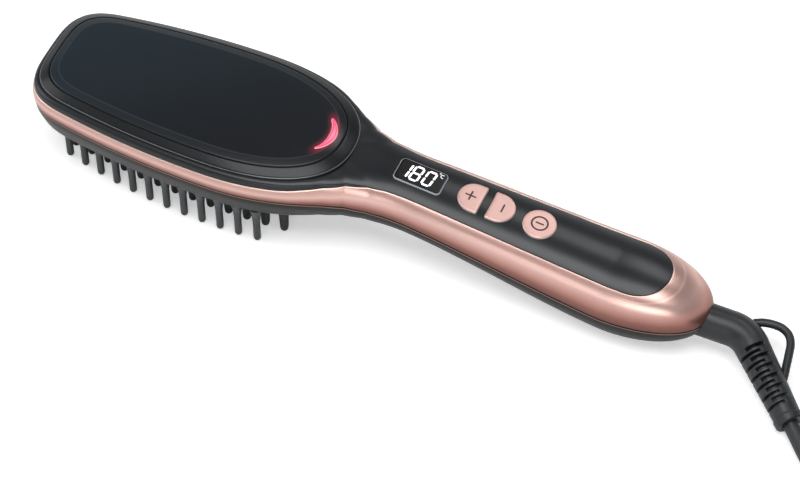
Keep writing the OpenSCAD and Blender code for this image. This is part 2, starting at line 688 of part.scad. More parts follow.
module plus_button() color("#d3a096") split_key(-1);
module minus_button() color("#d3a096") split_key(1);
module power_button() color("#d3a096") deck(power_at) {
    translate([0, 0, flange_z]) cylinder(d = power_d, h = key_proud - flange_z);
    translate([0, 0, flange_z - flange_t]) cylinder(d = power_d + 2 * flange_rim, h = flange_t + eps);
    key_stem(0);
}

switch_ats = [keys_at + key_middle(-1), keys_at + key_middle(1), power_at];

module switch_housings() color("#2b2d30") for (at = switch_ats) deck(at) difference() {
    translate([-switch_w / 2, -switch_w / 2, board_z]) cube([switch_w, switch_w, switch_top - board_z]);
    translate([0, 0, board_z + 0.8]) cylinder(d = plunger_d + 2 * fit, h = 10);
}

module plunger(at) color("#c7b27a") deck(at)
    translate([0, 0, flange_z - flange_t - stem_l - plunger_l]) cylinder(d = plunger_d, h = plunger_l);
module plus_plunger() plunger(switch_ats[0]);
module minus_plunger() plunger(switch_ats[1]);
module power_plunger() plunger(switch_ats[2]);

module control_board() color("#2f6b45") deck(board_at) difference() {
    translate([-board_l / 2, -board_w / 2, board_z - board_t]) cube([board_l, board_w, board_t]);
    for (at = boss_ats, y = [-1, 1] * boss_y) translate([at - board_at, y, board_z - board_t - 1])
        cylinder(d = 2.2, h = 4);
}

module board_screws() color("#8c8f93") for (at = boss_ats, y = [-1, 1] * boss_y) deck(at)
    translate([0, y, board_z - board_t]) {
        translate([0, 0, -1.2]) cylinder(d = 3.8, h = 1.2);
        cylinder(d = 1.8, h = board_t + 4);
    }

// ---------- Mains side of the handle ----------

power_x = brush_l - 52;
power_w = grip_w - 14;
power_z = 21;
module power_board() color("#2f6b45") from_tip() translate([power_x, -power_w / 2, power_z])
    cube([20, power_w, 1.6]);
module power_parts() color("#2b3440") from_tip() {
    translate([power_x + 1.5, -11, power_z + 1.6]) cube([9, 13, 7]);
    translate([power_x + 13, 5, power_z + 1.6]) cylinder(d = 8, h = 6);
    translate([power_x + 12, -10, power_z + 1.6]) cube([6, 9, 5]);
}

module housing_screws() color("#8c8f93") for (x = housing_xs) from_tip()
    translate([x, 0, belly(x) - 1 + screw_sink + 1]) {
        translate([0, 0, -1.8]) cylinder(d = screw_head_d, h = 1.8);
        cylinder(d = 2.4, h = post_split + 8 - belly(x) - screw_sink);
    }

// ---------- Swivel and cord ----------

module swivel_bearing() color("#3a3e42") from_tip() translate([bearing_x, 0, swivel_z]) difference() {
    union() {
        along_x(0, bearing_d, bearing_l);
        translate([0, -4, -swivel_z + foot_z]) cube([foot_l, 8, swivel_z - foot_z]);
        translate([0, -power_w / 2, -1.5]) cube([4, power_w, 3]);
    }
    along_x(-1, shaft_d + 0.1, bearing_l + 2);
}

module swivel_hub() color("#26292c") from_tip() translate([0, 0, swivel_z]) difference() {
    union() {
        along_x(bearing_x - 0.3 - hub_flange_t, hub_flange_d, hub_flange_t);
        along_x(bearing_x - 0.3 - hub_flange_t, shaft_d, boss_x - bearing_x + 0.3 + hub_flange_t);
        along_x(bearing_x + bearing_l + 0.3, boss_d - 1, boss_x - bearing_x - bearing_l - 0.3);
        along_x(boss_x, spigot_d, spigot_l);
        along_x(ring_x, ring_in_d, bearing_x - 0.3 - hub_flange_t - ring_x);
    }
    along_x(ring_x - 1, 4, 60);
}

ring_x = bearing_x - 13;
ring_in_d = 7;
ring_out_d = 9;
ring_w = 3;
module slip_rings() color("#c8a24a") from_tip() translate([0, 0, swivel_z])
    for (k = [0, 1]) difference() {
        along_x(ring_x + 0.8 + k * 4.4, ring_out_d, ring_w);
        along_x(ring_x, ring_in_d, 12);
    }

module slip_contacts() color("#c8a24a") from_tip() for (k = [0, 1])
    translate([ring_x + 1.4 + k * 4.4, -2, swivel_z + ring_out_d / 2 + 0.3]) {
        cube([1.8, 4, 0.5]);
        translate([0, 3.5, 0]) cube([1.8, 0.5, power_z - swivel_z - ring_out_d / 2 - 0.3]);
    }

module heater_leads() color("#b23a36") from_tip() for (s = [-1, 1])
    translate([clamp_x + heater_l / 2, s * heater_y, plate_top + 1.6]) rotate([0, 90, 0])
        cylinder(d = 1.8, h = neck_x + 2 - clamp_x - heater_l / 2);

// In the plane of the bend the boss runs along X and the sleeve leaves it at 45 degrees
sleeve_r0 = boss_d / 2 - 0.1;
module on_sleeve(at) translate([corner_x, 0, 0]) rotate([0, 0, 45]) translate([at, 0, 0])
    rotate([0, 90, 0]) children();

// Slot around part of the sleeve, facing the turn
module slot(at, turn, sweep, w) on_sleeve(at) rotate([0, 0, turn - sweep / 2])
    rotate_extrude(angle = sweep) translate([4.4, -w / 2]) square([5, w]);

// Route of the hanging loop's rod in the plane of the bend
loop_route = [for (p = [[1.5, -5.2], [4.5, -6.6], [9, -7.4], [13.2, -7], [16.2, -5.2], [18, -2.2],
                        [18.9, 2], [19.7, 7], [20.4, 11.5], [20.8, 15]])
              [corner_x + p[0], p[1], 0]];
module hanging_loop() color("#24282b") swivel() tube(loop_route, loop_d, 10);

module strain_relief() color("#24282b") swivel() difference() {
    union() {
        along_x(boss_x, boss_d, corner_x - elbow_tan - boss_x + eps);
        translate([corner_x - elbow_tan, elbow_r, 0]) rotate([0, 0, -90])
            rotate_extrude(angle = 45) translate([elbow_r, 0]) circle(d = boss_d);
        on_sleeve(elbow_tan - eps)
            cylinder(r1 = boss_d / 2, r2 = sleeve_d / 2, h = sleeve_l - elbow_tan);
        on_sleeve(sleeve_l - collar_l) cylinder(d = sleeve_d + 0.8, h = collar_l);
    }
    along_x(boss_x - 1, spigot_d + 0.1, spigot_l + 1);
    on_sleeve(sleeve_l - socket_l) cylinder(d = cord_d + 2 * fit, h = 10);
    for (i = [0 : 5]) slot(elbow_tan + 5.4 + i * 4.6, 90, 200, 1.1);
    for (i = [0 : 5]) slot(elbow_tan + 3.1 + i * 4.6, 0, 70, 1.5);
}

module mains_cord() color("#1d2022") tube(cord_route, cord_d, 8);
module cord_tail() color("#1d2022") tube(tail_route, cord_d, 8);

// The coil spirals in on the ground, climbs onto itself in half a turn, and spirals out again
function coil_point(a) =
    let (whole = 360 * coil_turns, u = a / whole,
         r = mix(coil_out_r, coil_in_r, u < 0.5 ? 2 * u : 2 - 2 * u),
         z = coil_rise * smooth(whole / 2 - 90, whole / 2 + 90, a))
    coil_at + [r * cos(a - 90), r * sin(a - 90), z];
coil_path = concat([coil_point(0) - [cord_d, 0, 0]],
                   [for (a = [0 : coil_step : 360 * coil_turns]) coil_point(a)],
                   [coil_point(360 * coil_turns) - [0, cord_d, 0]]);
coil_lap = 360 / coil_step;
coil_gap = min([for (i = [1 : len(coil_path) - 2], j = [i + coil_lap - 6 : len(coil_path) - 2])
                if (j < len(coil_path) - 1) norm(coil_path[i] - coil_path[j])]) - cord_d;
echo(coil_least_gap = coil_gap);

module cord_coil() color("#1d2022") tube(coil_path, cord_d, 6);

module plug_body() color("#1d2022") translate(plug_at) rotate(plug_turn) difference() {
    union() {
        rotate([0, -90, 0]) translate([0, 0, -socket_l]) cylinder(d1 = cord_d + 2.4, d2 = 11.6,
                                                                  h = plug_tail_l + socket_l);
        translate([-plug_tail_l - plug_l, 0, -plug_h / 2 + 0.1]) linear_extrude(plug_h - 0.2)
            polygon([[0, -plug_w / 2 + 2], [0, plug_w / 2 - 2], [2, plug_w / 2], [16, plug_w / 2],
                     [30, 9.5], [plug_l, 8], [plug_l, -8], [30, -9.5], [16, -plug_w / 2],
                     [2, -plug_w / 2]]);
        for (y = [-1, 1] * pin_gap / 2) translate([-plug_tail_l - plug_l, y, 0]) rotate([0, -90, 0])
            cylinder(d = prong_d, h = sleeve_h);
    }
    for (y = [-1, 1] * pin_gap / 2) translate([-plug_tail_l - plug_l + 8, y, 0]) rotate([0, -90, 0])
        cylinder(d = prong_core_d + peg_fit, h = 30);
    rotate([0, -90, 0]) translate([0, 0, -socket_l - 1]) cylinder(d = cord_d + 2 * fit, h = socket_l + 1);
}
module plug_pins() color("#c9ccd0") translate(plug_at) rotate(plug_turn) for (y = [-1, 1] * pin_gap / 2)
    translate([-plug_tail_l - plug_l, y, 0]) rotate([0, -90, 0]) {
        translate([0, 0, -8]) cylinder(d = prong_core_d, h = 8 + sleeve_h + eps);
        translate([0, 0, sleeve_h]) cylinder(d = prong_d, h = prong_l - sleeve_h - 1);
        translate([0, 0, prong_l - 1 - eps]) cylinder(d1 = prong_d, d2 = 0.6 * prong_d, h = 1);
    }

top_cover();
head_panel();
indicator_lens();
indicator_board();
trim_band();
lower_shell();
pin_frame();
heater_plate();
heated_pins();
spacer_pins();
frame_screws();
ptc_heaters();
mica_sheet();
heater_clamp();
clamp_screws();
thermal_fuse();
temperature_sensor();
heat_shield();
display_window();
display_module();
plus_button();
minus_button();
power_button();
switch_housings();
plus_plunger();
minus_plunger();
power_plunger();
control_board();
board_screws();
power_board();
power_parts();
housing_screws();
swivel_bearing();
swivel_hub();
slip_rings();
slip_contacts();
heater_leads();
strain_relief();
hanging_loop();
mains_cord();
cord_coil();
cord_tail();
plug_body();
plug_pins();
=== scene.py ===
"""Heated hair straightening brush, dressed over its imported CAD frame.

Lengths in the classes are millimetres measured from the tip of the head along +X, as on the part's
own drawing. Workshop turns them into metres in the shared frame, whose origin lies under the middle
of the brush.
"""
import sys
import logging
import math
from dataclasses import dataclass, field
from enum import Enum
from typing import Any, Sequence

import bmesh
import bpy
import numpy as np
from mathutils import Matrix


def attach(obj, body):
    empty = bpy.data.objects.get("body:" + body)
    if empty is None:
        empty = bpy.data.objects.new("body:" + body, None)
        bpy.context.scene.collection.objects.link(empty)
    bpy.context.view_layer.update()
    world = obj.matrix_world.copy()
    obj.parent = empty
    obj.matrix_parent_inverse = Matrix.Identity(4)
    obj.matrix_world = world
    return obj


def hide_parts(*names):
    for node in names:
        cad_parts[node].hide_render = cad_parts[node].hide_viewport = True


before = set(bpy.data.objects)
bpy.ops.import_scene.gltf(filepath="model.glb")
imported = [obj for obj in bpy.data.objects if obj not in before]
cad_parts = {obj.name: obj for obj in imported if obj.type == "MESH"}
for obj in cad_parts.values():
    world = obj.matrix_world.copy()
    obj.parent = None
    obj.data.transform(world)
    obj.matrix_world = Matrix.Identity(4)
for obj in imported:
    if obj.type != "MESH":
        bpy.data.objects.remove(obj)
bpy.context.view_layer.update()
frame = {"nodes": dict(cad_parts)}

log = logging.getLogger("hair_brush")
Array = np.ndarray
Colour = tuple[float, float, float]
MM = 0.001
HALF_LENGTH = 146.0
CREASE = 38.0
WHITE = (1.0, 1.0, 1.0, 1.0)


class Body(Enum):
    """Bodies of the frame that pieces ride on."""

    BRUSH = "brush"
    PLUS = "plus_key"
    MINUS = "minus_key"
    POWER = "power_key"
    CORD = "cord_set"


class Side(Enum):
    """Which half of the housing a skin belongs to, as the sign of its rise."""

    UPPER = 1
    LOWER = -1


# ---------------------------------------------------------------- shape maths


def clamp(u: Array) -> Array:
    """Return u held between 0 and 1."""
    return np.clip(u, 0.0, 1.0)


def mix(a: Any, b: Any, t: Any) -> Any:
    """Return a + (b - a) t."""
    return a + (b - a) * t


def smooth(a: float, b: float, x: Array) -> Array:
    """Return u u (3 - 2 u) with u = (x - a) / (b - a), held between 0 and 1."""
    u = clamp((x - a) / (b - a))
    return u * u * (3 - 2 * u)


def round_end(u: Array, n: float) -> Array:
    """Return (1 - u^n)^(1/n), which is 1 where u is under 0 and 0 where u is over 1."""
    return (1 - clamp(u) ** n) ** (1 / n)


def blend(a: Array, b: Array, k: Array) -> Array:
    """Return the larger of a and b, rounded over k: (a + b + sqrt((a - b)^2 + k^2)) / 2."""
    return (a + b + np.sqrt((a - b) ** 2 + k * k)) / 2


def soften(knots: Array, r: float, steps: int = 5) -> Array:
    """Round each corner of a polyline with a quadratic curve that starts r before it.

    Point t of corner b between a and c is (1 - t)^2 p + 2 t (1 - t) b + t^2 q, with p and q on its
    two sides at r from b, or halfway along a side that is shorter than 2 r.

    Args:
        knots: Points of the line, one to a row, in any number of columns.
        r: Length that a corner takes from each side.
        steps: Points to a corner.

    Returns:
        The rounded line, one point to a row.
    """
    knots = np.asarray(knots, float)
    a, b, c = knots[:-2], knots[1:-1], knots[2:]
    before = np.linalg.norm(a - b, axis=1, keepdims=True) + 1e-9
    after = np.linalg.norm(c - b, axis=1, keepdims=True) + 1e-9
    p = b + (a - b) * np.minimum(r / before, 0.5)
    q = b + (c - b) * np.minimum(r / after, 0.5)
    t = np.linspace(0, 1, steps)[None, :, None]
    arcs = (1 - t) ** 2 * p[:, None] + 2 * t * (1 - t) * b[:, None] + t * t * q[:, None]
    return np.vstack([knots[:1], arcs.reshape(-1, knots.shape[1]), knots[-1:]])


def monotone(knots: Array, count: int) -> Array:
    """Carry a smooth line through knots without overshoot, crowding its points at both ends.

    Slopes are harmonic means of the steps on both sides, and each span is a cubic Hermite curve.
    Points lie at (1 - cos(pi i / count)) / 2 of the way.

    Args:
        knots: One knot to a row.
        count: Spans of the result.

    Returns:
        count + 1 rows.
    """
    knots = np.asarray(knots, float)
    step = np.diff(knots, axis=0)
    same = step[:-1] * step[1:] > 0
    total = np.where(same, step[:-1] + step[1:], 1.0)
    inner = np.where(same, 2 * step[:-1] * step[1:] / total, 0.0)
    slope = np.vstack([step[:1], inner, step[-1:]])
    at = (len(knots) - 1) * (1 - np.cos(np.pi * np.arange(count + 1) / count)) / 2
    i = np.minimum(at.astype(int), len(knots) - 2)
    t = (at - i)[:, None]
    return ((1 + 2 * t) * (1 - t) ** 2 * knots[i] + t * (1 - t) ** 2 * slope[i]
            + t * t * (3 - 2 * t) * knots[i + 1] + t * t * (t - 1) * slope[i + 1])


def spline(points: Array, per_span: int) -> Array:
    """Carry a Catmull-Rom curve through points, with tangents by their distances apart.

    Args:
        points: Route, one point to a row.
        per_span: Steps between two points.

    Returns:
        The finer route, which passes through every point.
    """
    points = np.asarray(points, float)
    gap = np.linalg.norm(np.diff(points, axis=0), axis=1)
    rate = np.diff(points, axis=0) / gap[:, None]
    share = (gap[:-1] / (gap[:-1] + gap[1:]))[:, None]
    inner = rate[:-1] * (1 - share) + rate[1:] * share
    tangent = np.vstack([rate[:1], inner, rate[-1:]])
    t = (np.arange(per_span) / per_span)[None, :, None]
    p, q = points[:-1, None], points[1:, None]
    m, n = tangent[:-1, None] * gap[:, None, None], tangent[1:, None] * gap[:, None, None]
    fine = ((1 + 2 * t) * (1 - t) ** 2 * p + t * (1 - t) ** 2 * m
            + t * t * (3 - 2 * t) * q + t * t * (t - 1) * n)
    return np.vstack([fine.reshape(-1, 3), points[-1:]])


def distance(points: Array) -> Array:
    """Return the distance along a line at each of its points, from 0."""
    return np.concatenate([[0], np.cumsum(np.linalg.norm(np.diff(points, axis=0), axis=1))])


def arc(x: float, y: float, r: float, start: float, stop: float, count: int) -> Array:
    """Return count points on a circle of radius r round (x, y), from start to stop in degrees."""
    a = np.radians(np.linspace(start, stop, count))
    return np.stack([x + r * np.cos(a), y + r * np.sin(a)], axis=-1)


def box(x: float, y: float) -> Array:
    """Return the corners of a rectangle that reaches x and y to each side of the origin."""
    return np.array([[-x, -y], [x, -y], [x, y], [-x, y]])


def rounded_rectangle(length: float, width: float, r: float, inset: Array) -> Array:
    """Return outlines of a rounded rectangle drawn in by each inset.

    Args:
        length: Size along X.
        width: Size along Y.
        r: Corner radius, which shrinks with the inset but stays over 0.15.
        inset: One inset to an outline.

    Returns:
        Array of outlines, points, and X and Y.
    """
    inset = np.asarray(inset, float)[:, None, None]
    corner = np.maximum(r - inset, 0.15)
    reach = (length / 2 - inset - corner, width / 2 - inset - corner)
    centre = np.stack(np.broadcast_arrays(*reach), -1)
    quarter, starts = np.linspace(0, 90, 9), [0, 90, 180, 270]
    a = np.radians(quarter)[None, None, :] + np.radians(starts)[None, :, None]
    sign = np.array([[1, 1], [-1, 1], [-1, -1], [1, -1]])[None, :, None, :]
    ring = corner[..., None] * np.stack([np.cos(a), np.sin(a)], -1)
    return (centre * sign + ring).reshape(len(inset), -1, 2)


# ---------------------------------------------------------------- meshes


@dataclass
class Patch:
    """Points of a surface in millimetres, its faces, and a UV pair for each point."""

    points: Array
    faces: list[Array]
    uv: Array

    @staticmethod
    def grid(points: Array, uv: Array | None = None, close_u: bool = False,
             close_v: bool = True) -> "Patch":
        """Lay quads over a grid of points.

        Args:
            points: Array of rows, columns and X, Y, Z.
            uv: Array of rows, columns and U, V.
            close_u: Whether the last row joins the first.
            close_v: Whether the last column joins the first.

        Returns:
            The surface.
        """
        rows, columns = points.shape[:2]
        i = np.arange(rows if close_u else rows - 1)[:, None]
        j = np.arange(columns if close_v else columns - 1)[None, :]
        a, b = i * columns + j, (i + 1) % rows * columns + j
        c, d = (i + 1) % rows * columns + (j + 1) % columns, i * columns + (j + 1) % columns
        quads = np.stack(np.broadcast_arrays(a, b, c, d), -1).reshape(-1, 4)
        flat = np.zeros((rows * columns, 2)) if uv is None else uv.reshape(-1, 2)
        return Patch(points.reshape(-1, 3), [quads], flat)

    def strip(self, row: int, columns: int) -> "Patch":
        """Close a ring that mirrors across y = 0 with quads from side to side.

        Args:
            row: Which ring of the grid.
            columns: Points in a ring, of which number i faces number columns - i.

        Returns:
            This surface.
        """
        half, at = columns // 2, row * columns
        i = np.arange(half)
        quads = np.stack([i, i + 1, (columns - i - 1) % columns, (columns - i) % columns], -1)
        ends = np.array([[0, 1, columns - 1], [half - 1, half, half + 1]])
        self.faces += [at + quads[1:-1], at + ends]
        return self

    def fan(self, row: int, columns: int) -> "Patch":
        """Close a ring with triangles that meet in its middle.

        Args:
            row: Which ring of the grid.
            columns: Points in a ring.

        Returns:
            This surface.
        """
        i = row * columns + np.arange(columns)
        middle = np.full(columns, len(self.points))
        self.points = np.vstack([self.points, self.points[i].mean(0)])
        self.uv = np.vstack([self.uv, self.uv[i].mean(0) + [0, 50]])
        self.faces.append(np.stack([i, np.roll(i, -1), middle], -1))
        return self

    @staticmethod
    def join(parts: Sequence["Patch"]) -> "Patch":
        """Put several surfaces into one.

        Args:
            parts: The surfaces.

        Returns:
            One surface that holds them side by side.
        """
        starts = np.cumsum([0] + [len(p.points) for p in parts])
        faces = [f + s for p, s in zip(parts, starts) for f in p.faces]
        return Patch(np.vstack([p.points for p in parts]), faces, np.vstack([p.uv for p in parts]))

    def moved(self, places: Array) -> "Patch":
        """Repeat this surface at each of several places.

        Args:
            places: Shifts in X, Y and Z, one to a row.

        Returns:
            One surface with all the copies.
        """
        places = np.asarray(places, float)
        count, n = len(places), len(self.points)
        points = (self.points[None] + places[:, None]).reshape(-1, 3)
        shift = (np.arange(count) * n)[:, None, None]
        faces = [(f[None] + shift).reshape(-1, f.shape[1]) for f in self.faces]
        return Patch(points, faces, np.tile(self.uv, (count, 1)))

    def turned(self, turn: "Deck | None") -> "Patch":
        """Return the surface carried from a deck's frame into the brush's, or itself for None."""
        return self if turn is None else Patch(turn.place(self.points), self.faces, self.uv)


def prism(outline: Array, low: float, high: float) -> Patch:
    """Stand a solid on a flat outline.

    Args:
        outline: Points in X and Y.
        low: Height of its underside.
        high: Height of its top.

    Returns:
        A closed surface with one many-sided face at each end.
    """
    ring = np.concatenate([outline, np.zeros((len(outline), 1))], 1)
    patch = Patch.grid(np.stack([ring + [0, 0, low], ring + [0, 0, high]]))
    i = np.arange(len(outline))[None]
    patch.faces += [i, i + len(outline)]
    return patch


def lathe(profile: Array, sides: int, closed: bool = False) -> Patch:
    """Turn a profile round the Z axis: point (r, z) at angle a becomes (r cos a, r sin a, z).

    Args:
        profile: Radius and height, one pair to a row, with radius 0 at both ends unless closed.
        sides: Steps round the axis.
        closed: Whether the profile's last point joins its first, as on a ring.

    Returns:
        The turned surface, with the distance along the profile as V.
    """
    a = 2 * np.pi * np.arange(sides) / sides
    r, z = profile[:, :1], profile[:, 1:]
    points = np.stack(np.broadcast_arrays(r * np.cos(a), r * np.sin(a), z), -1)
    run = distance(profile)
    uv = np.stack(np.broadcast_arrays(a[None] / (2 * np.pi), run[:, None]), -1)
    return Patch.grid(points, uv, close_u=closed)


def collar(inner: float, outer: float, low: float, high: float, sides: int) -> Patch:
    """Return a flat ring between two radii and two heights."""
    section = np.array([[inner, low], [outer, low], [outer, high], [inner, high]])
    return lathe(section, sides, closed=True)


def stack(outlines: Array, heights: Array, inset: Array | None = None) -> Patch:
    """Stack outlines of equal point count into a solid that a fan closes at both ends.

    Args:
        outlines: Array of rings, points, and X and Y.
        heights: Height of each ring.
        inset: Value written to V for each ring.

    Returns:
        A closed surface.
    """
    rings, columns = outlines.shape[:2]
    z = np.broadcast_to(np.asarray(heights, float)[:, None, None], (rings, columns, 1))
    v = np.zeros(rings) if inset is None else np.asarray(inset, float)
    uv = np.stack(np.broadcast_arrays(np.arange(columns)[None] / columns, v[:, None]), -1)
    patch = Patch.grid(np.concatenate([outlines, z], -1), uv)
    return patch.fan(0, columns).fan(rings - 1, columns)


def tube(path: Array, radius: Array, sides: int, upright: Array) -> Patch:
    """Carry a circle along a path.

    The section's first axis is the direction crossed with upright, and its second is the direction
    crossed with the first, so the tube never twists about a path that isn't parallel to upright.

    Args:
        path: Points of the centreline.
        radius: Radius at each point, or at each point and side.
        sides: Points to a section.
        upright: Direction that the path never follows.

    Returns:
        A closed surface with the distance along the path as U and the turn round it as V.
    """
    run = np.gradient(path, axis=0)
    run /= np.linalg.norm(run, axis=1, keepdims=True)
    first = np.cross(run, upright)
    first /= np.linalg.norm(first, axis=1, keepdims=True)
    second = np.cross(run, first)
    a = 2 * np.pi * np.arange(sides) / sides
    r = radius if np.ndim(radius) == 2 else np.reshape(radius, (-1, 1))
    r = np.broadcast_to(r, (len(path), sides))
    points = path[:, None] + r[..., None] * (np.cos(a)[None, :, None] * first[:, None]
                                             + np.sin(a)[None, :, None] * second[:, None])
    along = distance(path)
    uv = np.stack(np.broadcast_arrays(along[:, None], a[None] / (2 * np.pi)), -1)
    return Patch.grid(points, uv).fan(0, sides).fan(len(path) - 1, sides)


# ---------------------------------------------------------------- shader maths


class Signal:
    """Output of a shader node, on which arithmetic adds Math nodes."""

    def __init__(self, paint: "Paint", socket: bpy.types.NodeSocket) -> None:
        """Wrap a socket of that paint's tree."""
        self.paint, self.socket = paint, socket

    def _math(self, operation: str, *values: Any) -> "Signal":
        """Return one Math node's result on these values."""
        return self.paint.node("ShaderNodeMath", {"operation": operation}, dict(enumerate(values)))

    def __add__(self, other: Any) -> "Signal":
        """Return self + other."""
        return self._math("ADD", self, other)

    def __sub__(self, other: Any) -> "Signal":
        """Return self - other."""
        return self._math("SUBTRACT", self, other)

    def __rsub__(self, other: Any) -> "Signal":
        """Return other - self."""
        return self._math("SUBTRACT", other, self)

    def __mul__(self, other: Any) -> "Signal":
        """Return self * other."""
        return self._math("MULTIPLY", self, other)

    def __truediv__(self, other: Any) -> "Signal":
        """Return self / other."""
        return self._math("DIVIDE", self, other)

    def __pow__(self, other: Any) -> "Signal":
        """Return self to the power of other."""
        return self._math("POWER", self, other)

    def __abs__(self) -> "Signal":
        """Return the size of self without its sign."""
        return self._math("ABSOLUTE", self)

    def rise(self, low: float, high: float) -> "Signal":
        """Return 0 below low, 1 above high, and a smooth step between."""
        return self.paint.node("ShaderNodeMapRange", {"interpolation_type": "SMOOTHSTEP"},
                               {"Value": self, "From Min": low, "From Max": high})


class Paint:
    """Node tree of a material or of the world."""

    def __init__(self, owner: Any, output: str = "ShaderNodeOutputMaterial") -> None:
        """Start the owner's tree anew, with nothing but its output."""
        owner.use_nodes = True
        self.owner, self.tree = owner, owner.node_tree
        self.tree.nodes.clear()
        self.output = self.tree.nodes.new(output)

    def node(self, kind: str, settings: dict[str, Any], inputs: dict[Any, Any],
             output: Any = 0) -> Signal:
        """Make a node, the only way in which this file makes one.

        Args:
            kind: Node type.
            settings: Node properties, set first. "stops" holds a ramp's positions and colours.
            inputs: Values or signals by socket name or number.
            output: Name or number of the output to return.

        Returns:
            That output.
        """
        node = self.tree.nodes.new(kind)
        for key, value in settings.items():
            if key == "stops":
                ramp = node.color_ramp.elements
                while len(ramp) < len(value):
                    ramp.new(1.0)
                for element, (position, colour) in zip(ramp, value):
                    element.position, element.color = position, (*colour, 1.0)
            else:
                setattr(node, key, value)
        for key, value in inputs.items():
            if isinstance(value, Signal):
                self.tree.links.new(value.socket, node.inputs[key])
            else:
                node.inputs[key].default_value = value
        return Signal(self, node.outputs[output])

    def place(self) -> Signal:
        """Return the Object coordinates."""
        return self.node("ShaderNodeTexCoord", {}, {}, "Object")

    def axis(self, vector: Signal, name: str) -> Signal:
        """Return the X, Y or Z of a vector."""
        return self.node("ShaderNodeSeparateXYZ", {}, {0: vector}, name)

    def surface(self, name: str) -> Signal:
        """Return U or V of the piece's own map, as X or Y."""
        uv = self.node("ShaderNodeUVMap", {"uv_map": "surface"}, {})
        return self.axis(uv, name)

    def noise(self, vector: Signal, scale: float, detail: float = 3.0,
              rough: float = 0.5) -> Signal:
        """Return a noise of that many features to the metre, from 0 to 1."""
        inputs = {"Vector": vector, "Scale": scale, "Detail": detail, "Roughness": rough}
        return self.node("ShaderNodeTexNoise", {}, inputs)

    def tint(self, factor: Any, a: Any, b: Any) -> Signal:
        """Return the colour that lies factor of the way from a to b."""
        colours = [(*c, 1.0) if isinstance(c, tuple) else c for c in (a, b)]
        inputs = {0: factor, 6: colours[0], 7: colours[1]}
        return self.node("ShaderNodeMix", {"data_type": "RGBA"}, inputs, 2)

    def bump(self, height: Signal, depth: float) -> Signal:
        """Return the normal of a relief of that depth in metres."""
        inputs = {"Height": height, "Distance": depth, "Strength": 1.0}
        return self.node("ShaderNodeBump", {}, inputs)

    def close(self, shader: Signal) -> None:
        """Send a shader to the output."""
        self.tree.links.new(shader.socket, self.output.inputs["Surface"])

    def finish(self, inputs: dict[str, Any]) -> bpy.types.Material:
        """Close the tree with a Principled shader.

        Args:
            inputs: Its values and signals by socket name.

        Returns:
            The material.
        """
        self.close(self.node("ShaderNodeBsdfPrincipled", {}, inputs))
        return self.owner


# ---------------------------------------------------------------- finishes


@dataclass(frozen=True)
class Finish:
    """A finish of one colour with a fine grain, a slow mottle and faint handling marks."""

    name: str
    colour: Colour
    roughness: float = 0.4
    metallic: float = 0.0
    coat: float = 0.0
    mottle: float = 0.08
    mottle_scale: float = 90.0
    grain: float = 0.12
    grain_scale: float = 2500.0
    relief: float = 0.00002
    emission: float = 0.0
    specular: float = 0.5

    def base(self, paint: Paint, place: Signal) -> Any:
        """Return the base colour, lighter and darker by the mottle."""
        dark = tuple(c * (1 - self.mottle) for c in self.colour)
        light = tuple(min(1.0, c * (1 + self.mottle)) for c in self.colour)
        return paint.tint(paint.noise(place, self.mottle_scale).rise(0.3, 0.7), dark, light)

    def gloss(self, paint: Paint, place: Signal) -> Any:
        """Return the roughness, varied by grain and by faint smears."""
        fine = paint.noise(place, self.grain_scale, 2.0) - 0.5
        smear = paint.noise(place, self.mottle_scale * 0.6, 4.0, 0.65) - 0.5
        return (fine * 0.8 + smear) * self.grain + self.roughness

    def normal(self, paint: Paint, place: Signal) -> Signal:
        """Return the normal of the grain."""
        return paint.bump(paint.noise(place, self.grain_scale, 3.0, 0.6), self.relief)

    def extra(self, paint: Paint, place: Signal) -> dict[str, Any]:
        """Return further sockets of the shader."""
        return {}

    def material(self) -> bpy.types.Material:
        """Return the material, which is made once."""
        if self.name in bpy.data.materials:
            return bpy.data.materials[self.name]
        paint = Paint(bpy.data.materials.new(self.name))
        place = paint.place()
        inputs = {"Base Color": self.base(paint, place), "Roughness": self.gloss(paint, place),
                  "Metallic": self.metallic, "Coat Weight": self.coat, "Coat Roughness": 0.08,
                  "Specular IOR Level": self.specular,
                  "Normal": self.normal(paint, place)}
        return paint.finish({**inputs, **self.extra(paint, place)})


@dataclass(frozen=True)
class RoseCoat(Finish):
    """Satin rose-gold coating over a fine flake, with a painted highlight: a paler line where it
    wraps an edge.
    """

    # pale colour of the painted edge highlight
    edge: Colour = (0.9, 0.68, 0.6)

    def flake(self, paint: Paint, place: Signal, body: Any) -> Any:
        """Return the body's colour with its flake and a painted highlight along its edge."""
        spark = paint.noise(place, 7000.0, 1.0).rise(0.3, 0.75)
        flaked = paint.tint(spark * 0.1, body, self.edge)
        # painted highlight: from 0.3 to 0.7 mm of the edge that V counts from, the colour turns
        # most of the way to the edge colour
        return paint.tint((1 - paint.surface("Y").rise(0.3, 0.7)) * 0.85, flaked, self.edge)

    def base(self, paint: Paint, place: Signal) -> Any:
        """Return the coating's colour."""
        return self.flake(paint, place, super().base(paint, place))


